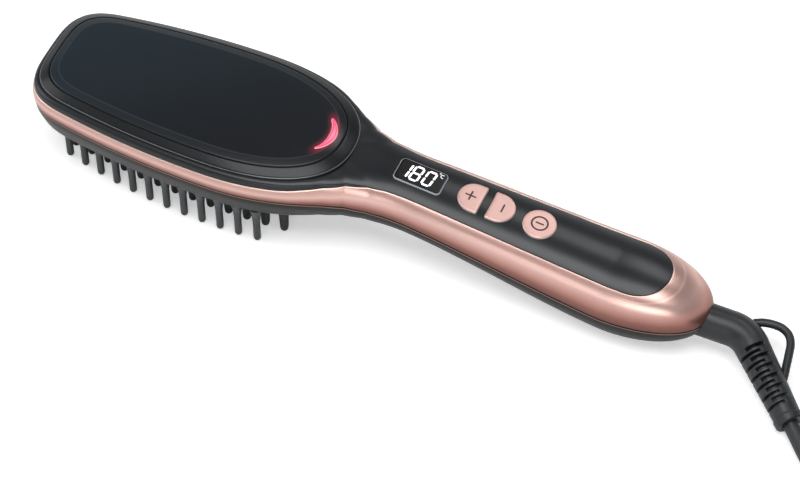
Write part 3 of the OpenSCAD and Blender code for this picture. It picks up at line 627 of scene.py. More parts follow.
@dataclass(frozen=True)
class BandCoat(RoseCoat):
    """The band's coating, with painted reflection and shade: lightest a little above the middle, it
    deepens to a dark copper at the lower edge.

    A painted highlight line stands in for a soft step that runs round the end of the handle, a
    little outside the black inlay.
    """

    # painted reflection and shade, by share of the way from the band's upper edge (0) to its lower
    # edge (1)
    across: tuple[tuple[float, Colour], ...] = (
        (0.0, (0.52, 0.32, 0.28)), (0.22, (0.6, 0.36, 0.315)), (0.46, (0.76, 0.5, 0.44)),
        (0.66, (0.52, 0.27, 0.23)), (0.84, (0.25, 0.095, 0.075)), (1.0, (0.13, 0.04, 0.03)))
    # distance in mm from the band's upper edge of the painted highlight line round the handle's end
    ridge_highlight_at: float = 5.4

    def base(self, paint: Paint, place: Signal) -> Any:
        """Return the coating's colour, with painted reflection and shade by its place across the
        band.
        """
        wander = (paint.noise(place, self.mottle_scale) - 0.5) * 0.04
        share = paint.surface("X") + wander
        body = paint.node("ShaderNodeValToRGB", {"stops": self.across}, {0: share})
        # painted highlight line round the handle's end, in place of a modelled step
        end = paint.axis(place, "X").rise(0.088, 0.118)
        off = abs(paint.surface("Y") - self.ridge_highlight_at)
        step = paint.tint((1 - off.rise(0.15, 0.9)) * end * 0.45, body, self.edge)
        return self.flake(paint, place, step)


@dataclass(frozen=True)
class ShellGloss(Finish):
    """Gloss black moulding with an optional thin copper line a little below its upper edge; on the
    rim the line is grey and is a painted highlight.
    """

    line: Colour = (0.35, 0.17, 0.12)
    line_at: float = -1.0
    line_width: float = 0.5

    def mark(self, paint: Paint) -> Signal:
        """Return 1 on the line and 0 beside it, by the distance from the piece's upper edge."""
        off = abs(paint.surface("Y") - self.line_at)
        return 1 - off.rise(self.line_width * 0.4, self.line_width * 0.6)

    def base(self, paint: Paint, place: Signal) -> Any:
        """Return the moulding's colour, with the line over it."""
        plain = super().base(paint, place)
        return plain if self.line_at < 0 else paint.tint(self.mark(paint), plain, self.line)

    def extra(self, paint: Paint, place: Signal) -> dict[str, Any]:
        """Return the line's metal."""
        return {} if self.line_at < 0 else {"Metallic": self.mark(paint) * 0.8}


@dataclass(frozen=True)
class PanelGloss(Finish):
    """Deep panel with a blue tint under a painted reflection, a painted highlight line inside its
    edge and a painted glow of the lamp's red spill.
    """

    # neck end of the painted reflection
    far: Colour = (0.011, 0.0125, 0.015)
    # inset in mm of the painted highlight line
    line_at: float = 3.4
    lamp: tuple[float, float, float] = (-0.0285, 0.0, 0.0112)
    # colour of the painted glow
    spill: Colour = (0.55, 0.02, 0.06)

    def base(self, paint: Paint, place: Signal) -> Any:
        """Return the tint under a painted reflection that deepens from tip to neck, with the
        painted highlight line a shade lighter.
        """
        # painted reflection: lighter towards the tip and the +Y side, deeper towards the neck
        reflection_fade = (paint.axis(place, "X") - paint.axis(place, "Y") * 1.2).rise(-0.15, -0.02)
        body = paint.tint(reflection_fade, self.colour, self.far)
        # painted highlight line, a shade lighter, at line_at inside the edge
        off = abs(paint.surface("Y") - self.line_at)
        return paint.tint((1 - off.rise(0.1, 0.5)) * 0.35, body, (0.05, 0.06, 0.066))

    def extra(self, paint: Paint, place: Signal) -> dict[str, Any]:
        """Return a painted glow of the lamp's red spill, which falls off with the distance from its
        curved line.
        """
        x, y, r = self.lamp
        dx, dy = paint.axis(place, "X") - x, paint.axis(place, "Y") - y
        off = abs((dx * dx + dy * dy) ** 0.5 - r)
        side = (dx - 0.0045).rise(0.0, 0.005)
        # painted glow: emission from the panel itself, not light from the lens
        glow = ((1 - off.rise(0.0006, 0.0042)) ** 2.0) * side
        light = paint.tint(glow, (0.0, 0.0, 0.0), self.spill)
        return {"Emission Color": light, "Emission Strength": 0.35}


@dataclass(frozen=True)
class LampLens(Finish):
    """Lit lens: a pale outer line, a deep magenta one inside it and a bright pink core."""

    def extra(self, paint: Paint, place: Signal) -> dict[str, Any]:
        """Return the light, by the distance in millimetres from the lens's outline."""
        stops = [(0.0, (0.62, 0.28, 0.32)), (0.2, (0.7, 0.3, 0.36)), (0.34, (0.28, 0.01, 0.06)),
                 (0.5, (0.75, 0.05, 0.13)), (0.75, (1.0, 0.2, 0.3)), (1.0, (1.0, 0.32, 0.4))]
        light = paint.node("ShaderNodeValToRGB", {"stops": stops}, {0: paint.surface("Y") / 1.65})
        return {"Emission Color": light, "Emission Strength": self.emission}


@dataclass(frozen=True)
class WindowGlass(Finish):
    """Black window with a thin pale frame printed round its edge."""

    frame: Colour = (0.3, 0.32, 0.34)
    frame_width: float = 0.5

    def base(self, paint: Paint, place: Signal) -> Any:
        """Return the frame's colour near the edge and the window's elsewhere."""
        inside = paint.surface("Y").rise(self.frame_width - 0.08, self.frame_width + 0.08)
        return paint.tint(inside, self.frame, self.colour)


@dataclass(frozen=True)
class LitMark(Finish):
    """Lit segment behind the window."""

    def extra(self, paint: Paint, place: Signal) -> dict[str, Any]:
        """Return the light, a little uneven as from several small lamps."""
        glow = paint.noise(place, 700.0, 1.0).rise(0.2, 0.8)
        light = paint.tint(glow, tuple(c * 0.86 for c in self.colour), self.colour)
        return {"Emission Color": light, "Emission Strength": self.emission}


@dataclass(frozen=True)
class CordSheath(Finish):
    """Moulded rubber sheath: satin, with a fine draw along its length."""

    def gloss(self, paint: Paint, place: Signal) -> Any:
        """Return the roughness with bands along the sheath."""
        along = paint.noise(place, 160.0, 5.0, 0.6) - 0.5
        return along * 0.2 + self.roughness


@dataclass(frozen=True)
class BrushedMetal(Finish):
    """Metal with fine turned marks."""

    def normal(self, paint: Paint, place: Signal) -> Signal:
        """Return the normal of marks that are drawn out along X."""
        along = paint.node("ShaderNodeMapping", {}, {"Vector": place, "Scale": (0.15, 1.0, 1.0)})
        return paint.bump(paint.noise(along, 4000.0, 2.0), self.relief)


@dataclass(frozen=True)
class Board(Finish):
    """Circuit board: solder mask over fine copper tracks."""

    def base(self, paint: Paint, place: Signal) -> Any:
        """Return the mask's colour, lighter where a track runs under it."""
        cells = paint.node("ShaderNodeTexVoronoi", {"distance": "CHEBYCHEV", "feature": "F1"},
                           {"Vector": place, "Scale": 260.0}, "Distance")
        track = tuple(min(1.0, c * 1.9) for c in self.colour)
        return paint.tint(cells.rise(0.42, 0.46), self.colour, track)


GLOSS = ShellGloss("cover_gloss", (0.0075, 0.0095, 0.0115), roughness=0.3, mottle=0.05, grain=0.05,
                   relief=0.000004, specular=0.42)
# the rim's grey line is a painted highlight on its rolled outer edge
RIM = ShellGloss("rim_gloss", (0.006, 0.0075, 0.0085), roughness=0.28, mottle=0.05, grain=0.05,
                 relief=0.000004, specular=0.3, line=(0.16, 0.175, 0.185), line_at=1.75,
                 line_width=0.4)
SHELL = ShellGloss("lower_gloss", (0.005, 0.006, 0.0065), roughness=0.34, mottle=0.05, grain=0.06,
                   relief=0.000006, specular=0.25, line_at=0.8, line_width=0.45)
PANEL = PanelGloss("panel_gloss", (0.0165, 0.0245, 0.0305), roughness=0.26, mottle=0.03, grain=0.04,
                   relief=0.000003, specular=0.25)
ROSE = BandCoat("rose_satin", (0.66, 0.36, 0.31), roughness=0.3, metallic=0.75, mottle=0.03,
                grain=0.08, relief=0.000008)
# the keys' edge colour is a painted highlight on the caps' sides and rolled top edge
KEY = RoseCoat("key_satin", (0.6, 0.37, 0.33), roughness=0.36, metallic=0.5, mottle=0.05,
               grain=0.08, relief=0.000008, edge=(0.86, 0.66, 0.6))
SYMBOL = Finish("symbol_ink", (0.03, 0.018, 0.02), roughness=0.5)
LENS = LampLens("lamp_lens", (0.5, 0.05, 0.1), roughness=0.25, emission=1.0)
WINDOW = WindowGlass("window_black", (0.001, 0.0012, 0.0014), roughness=0.2, mottle=0.02,
                     grain=0.03, relief=0.000001, specular=0.12)
DIGIT = LitMark("digit_light", (1.0, 0.97, 0.97), emission=1.0)
UNIT = LitMark("unit_light", (0.55, 0.55, 0.56), emission=1.0)
PIN = Finish("pin_nylon", (0.026, 0.031, 0.034), roughness=0.36, mottle=0.12, grain=0.1,
             relief=0.00001)
CONE = Finish("pin_ceramic", (0.008, 0.0095, 0.011), roughness=0.38, mottle=0.12, grain=0.14,
              relief=0.000015)
BED = Finish("bed_ceramic", (0.014, 0.016, 0.018), roughness=0.45, mottle=0.15, relief=0.00003)
SHEATH = CordSheath("cord_sheath", (0.0095, 0.0125, 0.015), roughness=0.4, mottle=0.12,
                    relief=0.00002)
STEEL = BrushedMetal("zinc_steel", (0.56, 0.56, 0.57), roughness=0.35, metallic=1.0, relief=0.00002)
NICKEL = BrushedMetal("plug_nickel", (0.68, 0.67, 0.64), roughness=0.2, metallic=1.0,
                      relief=0.00001)
BRASS = BrushedMetal("contact_brass", (0.7, 0.5, 0.22), roughness=0.3, metallic=1.0, relief=0.00002)
CAN = BrushedMetal("fuse_can", (0.65, 0.66, 0.68), roughness=0.3, metallic=1.0)
BOARD = Board("board_mask", (0.02, 0.13, 0.06), roughness=0.35)
HOUSING = Finish("component_resin", (0.04, 0.043, 0.047), roughness=0.5)
ACETAL = Finish("acetal_grey", (0.06, 0.064, 0.068), roughness=0.38)
CERAMIC = Finish("heater_film", (0.72, 0.55, 0.28), roughness=0.35, mottle=0.15)
MICA = Finish("mica_flake", (0.52, 0.42, 0.24), roughness=0.45, mottle=0.3, mottle_scale=300.0)
PLUNGER = Finish("plunger_resin", (0.6, 0.5, 0.32), roughness=0.5)
SENSOR = Finish("epoxy_bead", (0.6, 0.25, 0.12), roughness=0.3)
LEAD = Finish("lead_silicone", (0.45, 0.05, 0.04), roughness=0.5)

# CAD nodes that are carried over as they are, by finish
CARRIED = (
    (BOARD, ("indicator_board", "control_board", "power_board")),
    (HOUSING, ("display_module", "switch_housings", "power_parts")),
    (PLUNGER, ("plus_plunger", "minus_plunger", "power_plunger")),
    (STEEL, ("board_screws", "housing_screws", "frame_screws", "clamp_screws", "heater_clamp")),
    (BED, ("heater_plate",)), (PIN, ("pin_frame",)), (CERAMIC, ("ptc_heaters",)),
    (MICA, ("mica_sheet", "heat_shield")), (CAN, ("thermal_fuse",)),
    (SENSOR, ("temperature_sensor",)), (LEAD, ("heater_leads",)),
    (ACETAL, ("swivel_bearing", "swivel_hub")), (BRASS, ("slip_rings", "slip_contacts")),
    (NICKEL, ("plug_pins",)))


# ---------------------------------------------------------------- making and placing


@dataclass
class Workshop:
    """Turns surfaces into pieces of the scene."""

    made: list[str] = field(default_factory=list)

    def body(self, name: str, patch: Patch) -> bpy.types.Object:
        """Make an object of a surface, with equal points merged and its faces turned outwards.

        Args:
            name: Name of the object.
            patch: Its surface.

        Returns:
            The object, linked to the scene at the origin.
        """
        mesh = bpy.data.meshes.new(name)
        points = (patch.points - [HALF_LENGTH, 0, 0]) * MM
        mesh.from_pydata(points.tolist(), [], [f for a in patch.faces for f in a.tolist()])
        corners = np.empty(len(mesh.loops), np.int32)
        mesh.loops.foreach_get("vertex_index", corners)
        layer = mesh.uv_layers.new(name="surface")
        layer.data.foreach_set("uv", patch.uv[corners].astype(np.float32).ravel())
        work = bmesh.new()
        work.from_mesh(mesh)
        bmesh.ops.remove_doubles(work, verts=work.verts, dist=2e-6)
        bmesh.ops.recalc_face_normals(work, faces=work.faces)
        work.to_mesh(mesh)
        work.free()
        obj = bpy.data.objects.new(name, mesh)
        bpy.context.scene.collection.objects.link(obj)
        return obj

    def carve(self, obj: bpy.types.Object, cutters: Sequence[Patch]) -> None:
        """Cut shapes out of an object's mesh.

        Args:
            obj: The object.
            cutters: Closed surfaces, apart from one another.
        """
        tool = self.body("cutter", Patch.join(cutters))
        cut = obj.modifiers.new("cut", "BOOLEAN")
        cut.object, cut.solver, cut.operation = tool, "EXACT", "DIFFERENCE"
        graph = bpy.context.evaluated_depsgraph_get()
        mesh = bpy.data.meshes.new_from_object(obj.evaluated_get(graph))
        obj.modifiers.clear()
        old, obj.data = obj.data, mesh
        mesh.name = obj.name
        for data in (tool.data, old):
            if data.users < 2:
                bpy.data.meshes.remove(data)

    def piece(self, name: str, patch: Patch, finish: Finish, body: Body,
              replaces: Sequence[str] = (), cuts: Sequence[Patch] = (),
              crease: float = CREASE) -> bpy.types.Object:
        """Make a finished piece that rides on a body.

        Args:
            name: Name of the piece.
            patch: Its surface.
            finish: Its finish.
            body: The body that it rides on.
            replaces: CAD nodes that it stands for.
            cuts: Shapes cut out of it.
            crease: Angle in degrees over which an edge stays sharp.

        Returns:
            The piece.
        """
        obj = self.body(name, patch)
        if cuts:
            self.carve(obj, cuts)
        obj.data.materials.clear()
        obj.data.materials.append(finish.material())
        obj.data.shade_smooth()
        obj.data.set_sharp_from_angle(angle=math.radians(crease))
        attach(obj, body.value)
        if replaces:
            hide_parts(*replaces)
        self.made.append(name)
        log.info("%s: %d faces on %s", name, len(obj.data.polygons), body.value)
        return obj

    def dress(self, finish: Finish, *nodes: str) -> None:
        """Give CAD nodes a finish.

        Args:
            finish: The finish.
            nodes: Names of the nodes.
        """
        for node in nodes:
            obj = frame["nodes"][node]
            if not obj.material_slots:
                obj.data.materials.append(None)
            for place in obj.material_slots:
                place.material = finish.material()
            log.info("%s: dressed in %s", node, finish.name)


@dataclass(frozen=True)
class Deck:
    """Tilted frame of the controls: origin at the neck's top, and X down the handle."""

    x: float = 157.0
    z: float = 42.2
    fall: float = 8.6
    run: float = 95.0

    def place(self, points: Array) -> Array:
        """Return points of the deck's frame in the brush's frame."""
        a = math.atan2(self.fall, self.run)
        c, s = math.cos(a), math.sin(a)
        turn = np.array([[c, 0, s], [0, 1, 0], [-s, 0, c]])
        return points @ turn.T + [self.x, 0, self.z]


# ---------------------------------------------------------------- housing


@dataclass(frozen=True)
class Form:
    """Formulas of the brush's skin: a flat oval head that runs into a rounded handle."""

    length: float = 292.0
    head_l: float = 142.0
    head_w: float = 68.6
    tip_w: float = 58.0
    tip_r: float = 22.0
    wide_x: float = 85.0
    neck_x: float = 157.0
    neck_w: float = 32.2
    neck_top: float = 42.2
    neck_belly: float = 16.8
    grip_x: float = 252.0
    grip_w: float = 40.0
    grip_top: float = 33.6
    rest_x: float = 262.0
    inlay: float = 0.68
    neck_blend: float = 10.0
    neck_ease: float = 8.0
    end_n: float = 2.2
    stations: int = 150
    handle_over: tuple[float, float] = (100.0, 138.0)
    blend_over: tuple[float, float] = (100.0, 134.0)
    ease_in: tuple[float, float] = (108.0, 130.0)
    ease_out: tuple[float, float] = (152.0, 180.0)
    drop_from: float = 112.0

    def oval_half(self, x: Array, d: Array, heel: Array = 0.0) -> Array:
        """Return the oval's half width at x, drawn in by d all round and by heel at the neck.

        With s the place along the whole oval, it is w / 2 times a superellipse end: tip_w grows to
        head_w as a parabola from the tip's round end, and the neck end rounds off from wide_x.
        """
        s = (x - d) * self.head_l / (self.head_l - heel - 2 * d)
        narrow = ((self.wide_x - s) / (self.wide_x - self.tip_r)) ** 2
        width = self.head_w - (self.head_w - self.tip_w) * narrow
        near = width / 2 * round_end((self.tip_r - s) / self.tip_r, 3.5)
        far = self.head_w / 2 * round_end((s - self.wide_x) / (self.head_l - self.wide_x), 2.3)
        half = (1 - 2 * d / self.head_w) * np.where(s < self.wide_x, near, far)
        return np.where((s <= 0) | (s >= self.head_l), 0.0, half)

    def oval(self, d: Array, heel: Array) -> Array:
        """Return closed outlines of the oval.

        Args:
            d: Inset of each outline.
            heel: Shortfall of each at the neck.

        Returns:
            Array of outlines, points, and X and Y, with point i across from point -i.
        """
        d, heel = np.asarray(d, float)[:, None], np.asarray(heel, float)[:, None]
        u = (1 - np.cos(np.pi * np.arange(self.stations + 1) / self.stations)) / 2
        x = d + (self.head_l - heel - 2 * d) * u
        half = np.stack([x, self.oval_half(x, d, heel)], -1)
        return np.concatenate([half, half[:, -2:0:-1] * [1, -1]], 1)

    def crowned(self, line: Array, run: Array) -> Patch:
        """Stack ovals along a line and close both of its ends.

        Args:
            line: Inset, height and heel, one oval to a row.
            run: Value written to V for each oval.

        Returns:
            A closed surface.
        """
        ovals = self.oval(line[:, 0], line[:, 2])
        z = np.broadcast_to(line[:, 1][:, None, None], (*ovals.shape[:2], 1))
        uv = np.stack(np.broadcast_arrays(ovals[..., 0], run[:, None]), -1)
        patch, columns = Patch.grid(np.concatenate([ovals, z], -1), uv), ovals.shape[1]
        return patch.strip(0, columns).strip(len(line) - 1, columns)

    def share(self, x: Array, spec: Array, t: float) -> Array:
        """Return how far round the handle's end a ring lies at x, from its full share down to 0."""
        f, stop = spec[:, 2:3], self.length - spec[:, 3:4] - t
        r = np.maximum(4.0, (self.length - self.grip_x) * f ** 2.4)
        return f * round_end((x - stop + r) / r, self.end_n)

    def side_half(self, x: Array, spec: Array, t: float) -> Array:
        """Return a ring's half width: the oval and the handle's side, rounded where they cross."""
        along = clamp((x - self.neck_x) / (self.grip_x - self.neck_x))
        side = mix(self.neck_w, self.grip_w, along) / 2 - t
        grip = self.share(x, spec, t) * side * smooth(*self.handle_over, x)
        k = self.neck_blend * np.minimum(1, spec[:, 2:3] / self.inlay)
        k = k * smooth(*self.blend_over, x) * (1 - smooth(self.head_l, self.neck_x + 14, x))
        return blend(self.oval_half(x, spec[:, :1] + t), grip, k)

    def eased_half(self, x: Array, spec: Array, t: float) -> Array:
        """Return that half width eased through the neck.

        It is the mean of side_half(x + i step) for i of -2 to 2, with weights 1, 4, 6, 4, 1.
        """
        step = self.neck_ease * smooth(*self.ease_in, x) * (1 - smooth(*self.ease_out, x))
        weights = zip(range(-2, 3), (1, 4, 6, 4, 1))
        parts = [w * self.side_half(x + i * step, spec, t) for i, w in weights]
        return sum(parts) / 16

    def ring(self, spec: Array, side: Side, t: float) -> Array:
        """Return closed rings round the whole skin.

        A ring runs along the head's oval and the handle's side, and its height passes from the
        head's to the handle's over the neck.

        Args:
            spec: Inset on the head, height on the head, share of the handle's half width, and
                distance from the handle's end, one ring to a row.
            side: Half of the housing.
            t: Distance that the skin lies inside the outer one.

        Returns:
            Array of rings, points, and X, Y, Z, with point i across from point -i.
        """
        inset, z, back = spec[:, :1], spec[:, 1:2], spec[:, 3:4]
        sign = side.value
        u = np.arange(self.stations + 1)[None] / self.stations
        x0, x1, middle = inset + t, self.length - back - t, self.head_l + 1
        x = np.where(u < 0.5, mix(x0, middle, (1 - np.cos(2 * np.pi * u)) / 2),
                     mix(middle, x1, (1 - np.cos(2 * np.pi * u - np.pi)) / 2))
        along = clamp((x - self.neck_x) / (self.grip_x - self.neck_x))
        spine = mix(self.neck_top, self.grip_top, along)
        belly = self.neck_belly * (1 - smooth(self.neck_x, self.rest_x, x))
        cap = round_end((x - self.grip_x) / (self.length - self.grip_x - t), self.end_n)
        lift = round_end(np.minimum(1, self.share(x, spec, t) / np.maximum(cap, 1e-6)), 2.35)
        lift = np.where(cap <= 1e-6, 0.0, lift)
        grip_z = (spine + belly) / 2 + sign * ((spine - belly) / 2 - t) * cap * lift
        y = self.eased_half(x, spec, t)
        y[:, [0, -1]] = 0.0
        height = mix(z - sign * t, grip_z, smooth(self.drop_from, self.neck_x, x))
        half = np.stack([x, y, height], -1)
        return np.concatenate([half, half[:, -2:0:-1] * [1, -1, 1]], 1)

    def skin(self, spec: Array, side: Side, count: int, rolls: tuple[float, float],
             wall: float = 2.0) -> tuple[Patch, int]:
        """Build a closed shell: a smooth outer skin with rolled edges, and its inner wall.

        At a distance s from an edge, the skin sinks along its normal by r - sqrt(r^2 - (r - s)^2).

        Args:
            spec: Knots of the skin, as for ring(), from the edge that UV counts from.
            side: Half of the housing.
            count: Rings of the outer skin.
            rolls: Radius r of the roll at the first and at the last ring, or 0 for none.
            wall: Thickness.

        Returns:
            The surface, whose V is the distance from the first edge and U that distance's share of
            the whole, and its points to a ring.
        """
        outer = self.ring(monotone(spec, count), side, 0.0)
        down = np.gradient(outer, axis=0)
        round_ = np.roll(outer, -1, axis=1) - np.roll(outer, 1, axis=1)
        normal = np.cross(down, round_)
        normal /= np.linalg.norm(normal, axis=-1, keepdims=True) + 1e-12
        core = np.stack([np.clip(outer[..., 0], 40, 250), 0 * outer[..., 1], outer[..., 2]], -1)
        core[..., 2] -= 4.0 * side.value
        flip = np.sign((normal * (outer - core)).sum(-1, keepdims=True))
        normal = normal * np.where(flip == 0, 1, flip)
        step = np.linalg.norm(np.diff(outer, axis=0), axis=-1)
        run = np.concatenate([np.zeros((1, outer.shape[1])), np.cumsum(step, axis=0)])
        sunk = 0.0
        for r, s in ((rolls[0], run), (rolls[1], run[-1:] - run)):
            if r > 0:
                sunk = sunk + r - np.sqrt(np.maximum(r * r - np.maximum(r - s, 0) ** 2, 0))
        outer = outer - normal * np.asarray(sunk)[..., None]
        inner = self.ring(monotone(spec, 12)[::-1], side, wall)
        columns = outer.shape[1]
        across = run / run[-1:]
        uv = np.concatenate([np.stack([across, run], -1), np.full((*inner.shape[:2], 2), 90.0)])
        return Patch.grid(np.concatenate([outer, inner]), uv, close_u=True), columns


@dataclass(frozen=True)
class Housing:
    """Cover, rim, trim band and lower shell."""

    form: Form = Form()
    deck: Deck = Deck()
    boss_z: float = 13.0
    boss_hole: float = 14.8
    screw_xs: tuple[float, float] = (143.0, 234.0)
    screw_d: float = 6.0
    window: tuple[float, float, float] = (20.6, 11.6, 10.4)
    fit: float = 0.2
    cover: tuple[tuple[float, ...], ...] = (
        (0.6, 39.8, 0.68, 18), (1.1, 41.9, 0.63, 19), (2.4, 42.9, 0.55, 20.7),
        (4.4, 43.2, 0.46, 22.8), (8, 43.3, 0.33, 25.6), (14, 43.4, 0.18, 28.8),
        (14.6, 43.4, 0.01, 31))
    band: tuple[tuple[float, ...], ...] = (
        (0.6, 39.8, 0.68, 18), (0.15, 38.1, 0.8, 9.4), (0, 36.4, 0.9, 3.6),
        (0.05, 34.36, 0.97, 0.8), (0.3, 33, 1, 0))
    lower: tuple[tuple[float, ...], ...] = (
        (0.3, 33, 1, 0), (0.5, 30.4, 0.97, 0.8), (1.6, 26, 0.87, 4.8), (4, 21, 0.7, 14),
        (8, 21, 0.45, 23), (16, 21, 0.2, 31), (16.6, 21, 0.01, 33))

    def rod(self, x0: float, x1: float, d: float) -> Patch:
        """Return a cylinder along X on the swivel's axis."""
        a = 2 * np.pi * np.arange(64) / 64
        ring = np.stack([0 * a, d / 2 * np.cos(a), self.boss_z + d / 2 * np.sin(a)], -1)
        patch = Patch.grid(np.stack([ring + [x0, 0, 0], ring + [x1, 0, 0]]))
        return patch.fan(0, 64).fan(1, 64)

    def shell(self, spec: Sequence[Sequence[float]], side: Side, count: int,
              rolls: tuple[float, float], open_end: bool) -> Patch:
        """Build a shell, closed across its last ring unless it is open there.

        Args:
            spec: Knots of the skin.
            side: Half of the housing.
            count: Rings of the outer skin.
            rolls: Radii of the rolled edges.
            open_end: Whether the shell is a band without a roof or floor.

        Returns:
            A closed surface.
        """
        patch, columns = self.form.skin(np.array(spec), side, count, rolls)
        if open_end:
            return patch
        keep = patch.faces[0][np.any(patch.faces[0] // columns != count, axis=1)
                              | np.any(patch.faces[0] // columns > count + 1, axis=1)]
        rows = keep // columns
        bridge = np.any(rows == count, axis=1) & np.any(rows == count + 1, axis=1)
        patch.faces = [keep[~bridge]]
        return patch.strip(count, columns).strip(count + 1, columns)

    def rim(self) -> Patch:
        """Build the raised rim that carries the back panel, with a floor under the panel."""
        line = soften(np.array([[3.1, 42.2, 0.6], [3.1, 43.8, 0.6], [3.6, 44.3, 0.8], [6.5, 46, 2],
                                [6.8, 45.9, 2], [6.8, 45, 2]]), 0.35)
        return self.form.crowned(line, distance(line[:, :2]))

    def build(self, shop: Workshop, keys: "Keys") -> None:
        """Make the housing's pieces.

        Args:
            shop: Where pieces are made.
            keys: The controls, for their cut-outs.
        """
        length, width, at = self.window
        grow = 2 * self.fit
        hole = rounded_rectangle(length + grow, width + grow, 2.0, [0.0])[0] + [at, 0]
        well = rounded_rectangle(length - 4, width - 2.6, 1.0, [0.0])[0] + [at, 0]
        cuts = [prism(hole, -1.6, 4).turned(self.deck), prism(well, -8, -1.5).turned(self.deck)]
        cuts += [prism(o, -8, 4).turned(self.deck) for o in keys.outlines(-self.fit)]
        cover = self.shell(self.cover, Side.UPPER, 60, (0.3, 0.0), False)
        shop.piece("top_cover_skin", cover, GLOSS, Body.BRUSH, ["top_cover"], cuts)
        shop.piece("panel_rim", self.rim(), RIM, Body.BRUSH, crease=30.0)
        hole = [self.rod(278, 294, self.boss_hole)]
        band = self.shell(self.band, Side.UPPER, 44, (0.5, 0.3), True)
        shop.piece("trim_band_skin", band, ROSE, Body.BRUSH, ["trim_band"], hole)
        lower = self.shell(self.lower, Side.LOWER, 60, (0.3, 0.0), False)
        bed = [prism(self.form.oval([inset], [0])[0], low, high)
               for inset, low, high in ((4.4, 19, 22), (9.0, 20, 28))]
        screws = [prism(arc(x, 0, self.screw_d / 2, 0, 352.5, 48), -2, self.belly(x) + 3)
                  for x in self.screw_xs]
        under = shop.piece("lower_shell_skin", lower, SHELL, Body.BRUSH,
                           ["lower_shell"], hole + [bed[0]] + screws)
        shop.carve(under, [bed[1]])
        under.data.set_sharp_from_angle(angle=math.radians(CREASE))

    def belly(self, x: float) -> float:
        """Return the underside's height at x."""
        form = self.form
        return float(form.neck_belly * (1 - smooth(form.neck_x, form.rest_x, np.array(x))))


@dataclass(frozen=True)
class BackPanel:
    """Crowned panel of the head, with the curved lens near its neck end."""

    form: Form = Form()
    inset: float = 7.0
    edge: float = 46.2
    lens_rise: float = 1.1
    slot_gap: float = 0.15
    line: tuple[tuple[float, ...], ...] = (
        (7, 45, 2), (7, 45.9, 2), (7.4, 46.2, 2), (10.5, 47.1, 2), (15, 47.4, 2), (22, 47.4, 2))
    lens_x: float = 117.5
    lens_r: float = 11.2
    lens_a: float = 46.0
    lens_w: float = 3.3
    lens_end_w: float = 1.3

    def lens_half(self, s: Array, grow: float) -> Array:
        """Return the lens's half width at distance s along its curve, with round ends.

        Within the ends it is mix(w, end_w, (|a| / lens_a)^1.5) / 2, and past them a half circle.
        """
        reach = self.lens_r * math.radians(self.lens_a)
        a = clamp(np.abs(s) / reach)
        body = mix(self.lens_w, self.lens_end_w, a ** 1.5) / 2 + grow
        r = self.lens_end_w / 2 + grow
        over = np.maximum(np.abs(s) - reach, 0)
        return np.where(over > 0, np.sqrt(np.maximum(r * r - over * over, 0)), body)

    def crescent(self, grow: float) -> tuple[Array, Array, float]:
        """Return distances along the lens's curve, half widths there, and its half length."""
        end = self.lens_r * math.radians(self.lens_a) + self.lens_end_w / 2 + grow
        s = -end * np.cos(np.pi * np.arange(73) / 72)
        return s, self.lens_half(s, grow), end

    def bend(self, s: Array, off: Array) -> Array:
        """Return X and Y at distance s along the curve and off to its outer side."""
        a, r = s / self.lens_r, self.lens_r + off
        return np.stack([self.lens_x + r * np.cos(a), r * np.sin(a)], -1)

    def build(self, shop: Workshop) -> None:
        """Make the panel and the lens."""
        line = soften(np.array(self.line), 0.5)
        patch = self.form.crowned(line, line[:, 0] - self.inset)
        s, half, _ = self.crescent(self.slot_gap)
        slot = np.concatenate([self.bend(s, half), self.bend(s[-2:0:-1], -half[-2:0:-1])])
        shop.piece("back_panel", patch, PANEL, Body.BRUSH, ["head_panel"],
                   [prism(slot, 44, 49)], crease=30.0)
        s, half, end = self.crescent(0.0)
        a = 2 * np.pi * np.arange(32) / 32
        across = half[:, None] * np.cos(a)
        rise = np.sign(np.sin(a)) * np.abs(np.sin(a)) ** 0.6
        height = self.edge + self.lens_rise * rise[None] * np.minimum(1, half / 0.5)[:, None]
        points = np.concatenate([self.bend(s[:, None], across), height[..., None]], -1)
        edge = np.minimum(half[:, None] - np.abs(across), (end - np.abs(s))[:, None])
        uv = np.stack([np.broadcast_to(s[:, None], edge.shape), edge], -1)
        shop.piece("lamp_lens_curve", Patch.grid(points, uv), LENS, Body.BRUSH,
                   ["indicator_lens"], crease=60.0)


# ---------------------------------------------------------------- controls


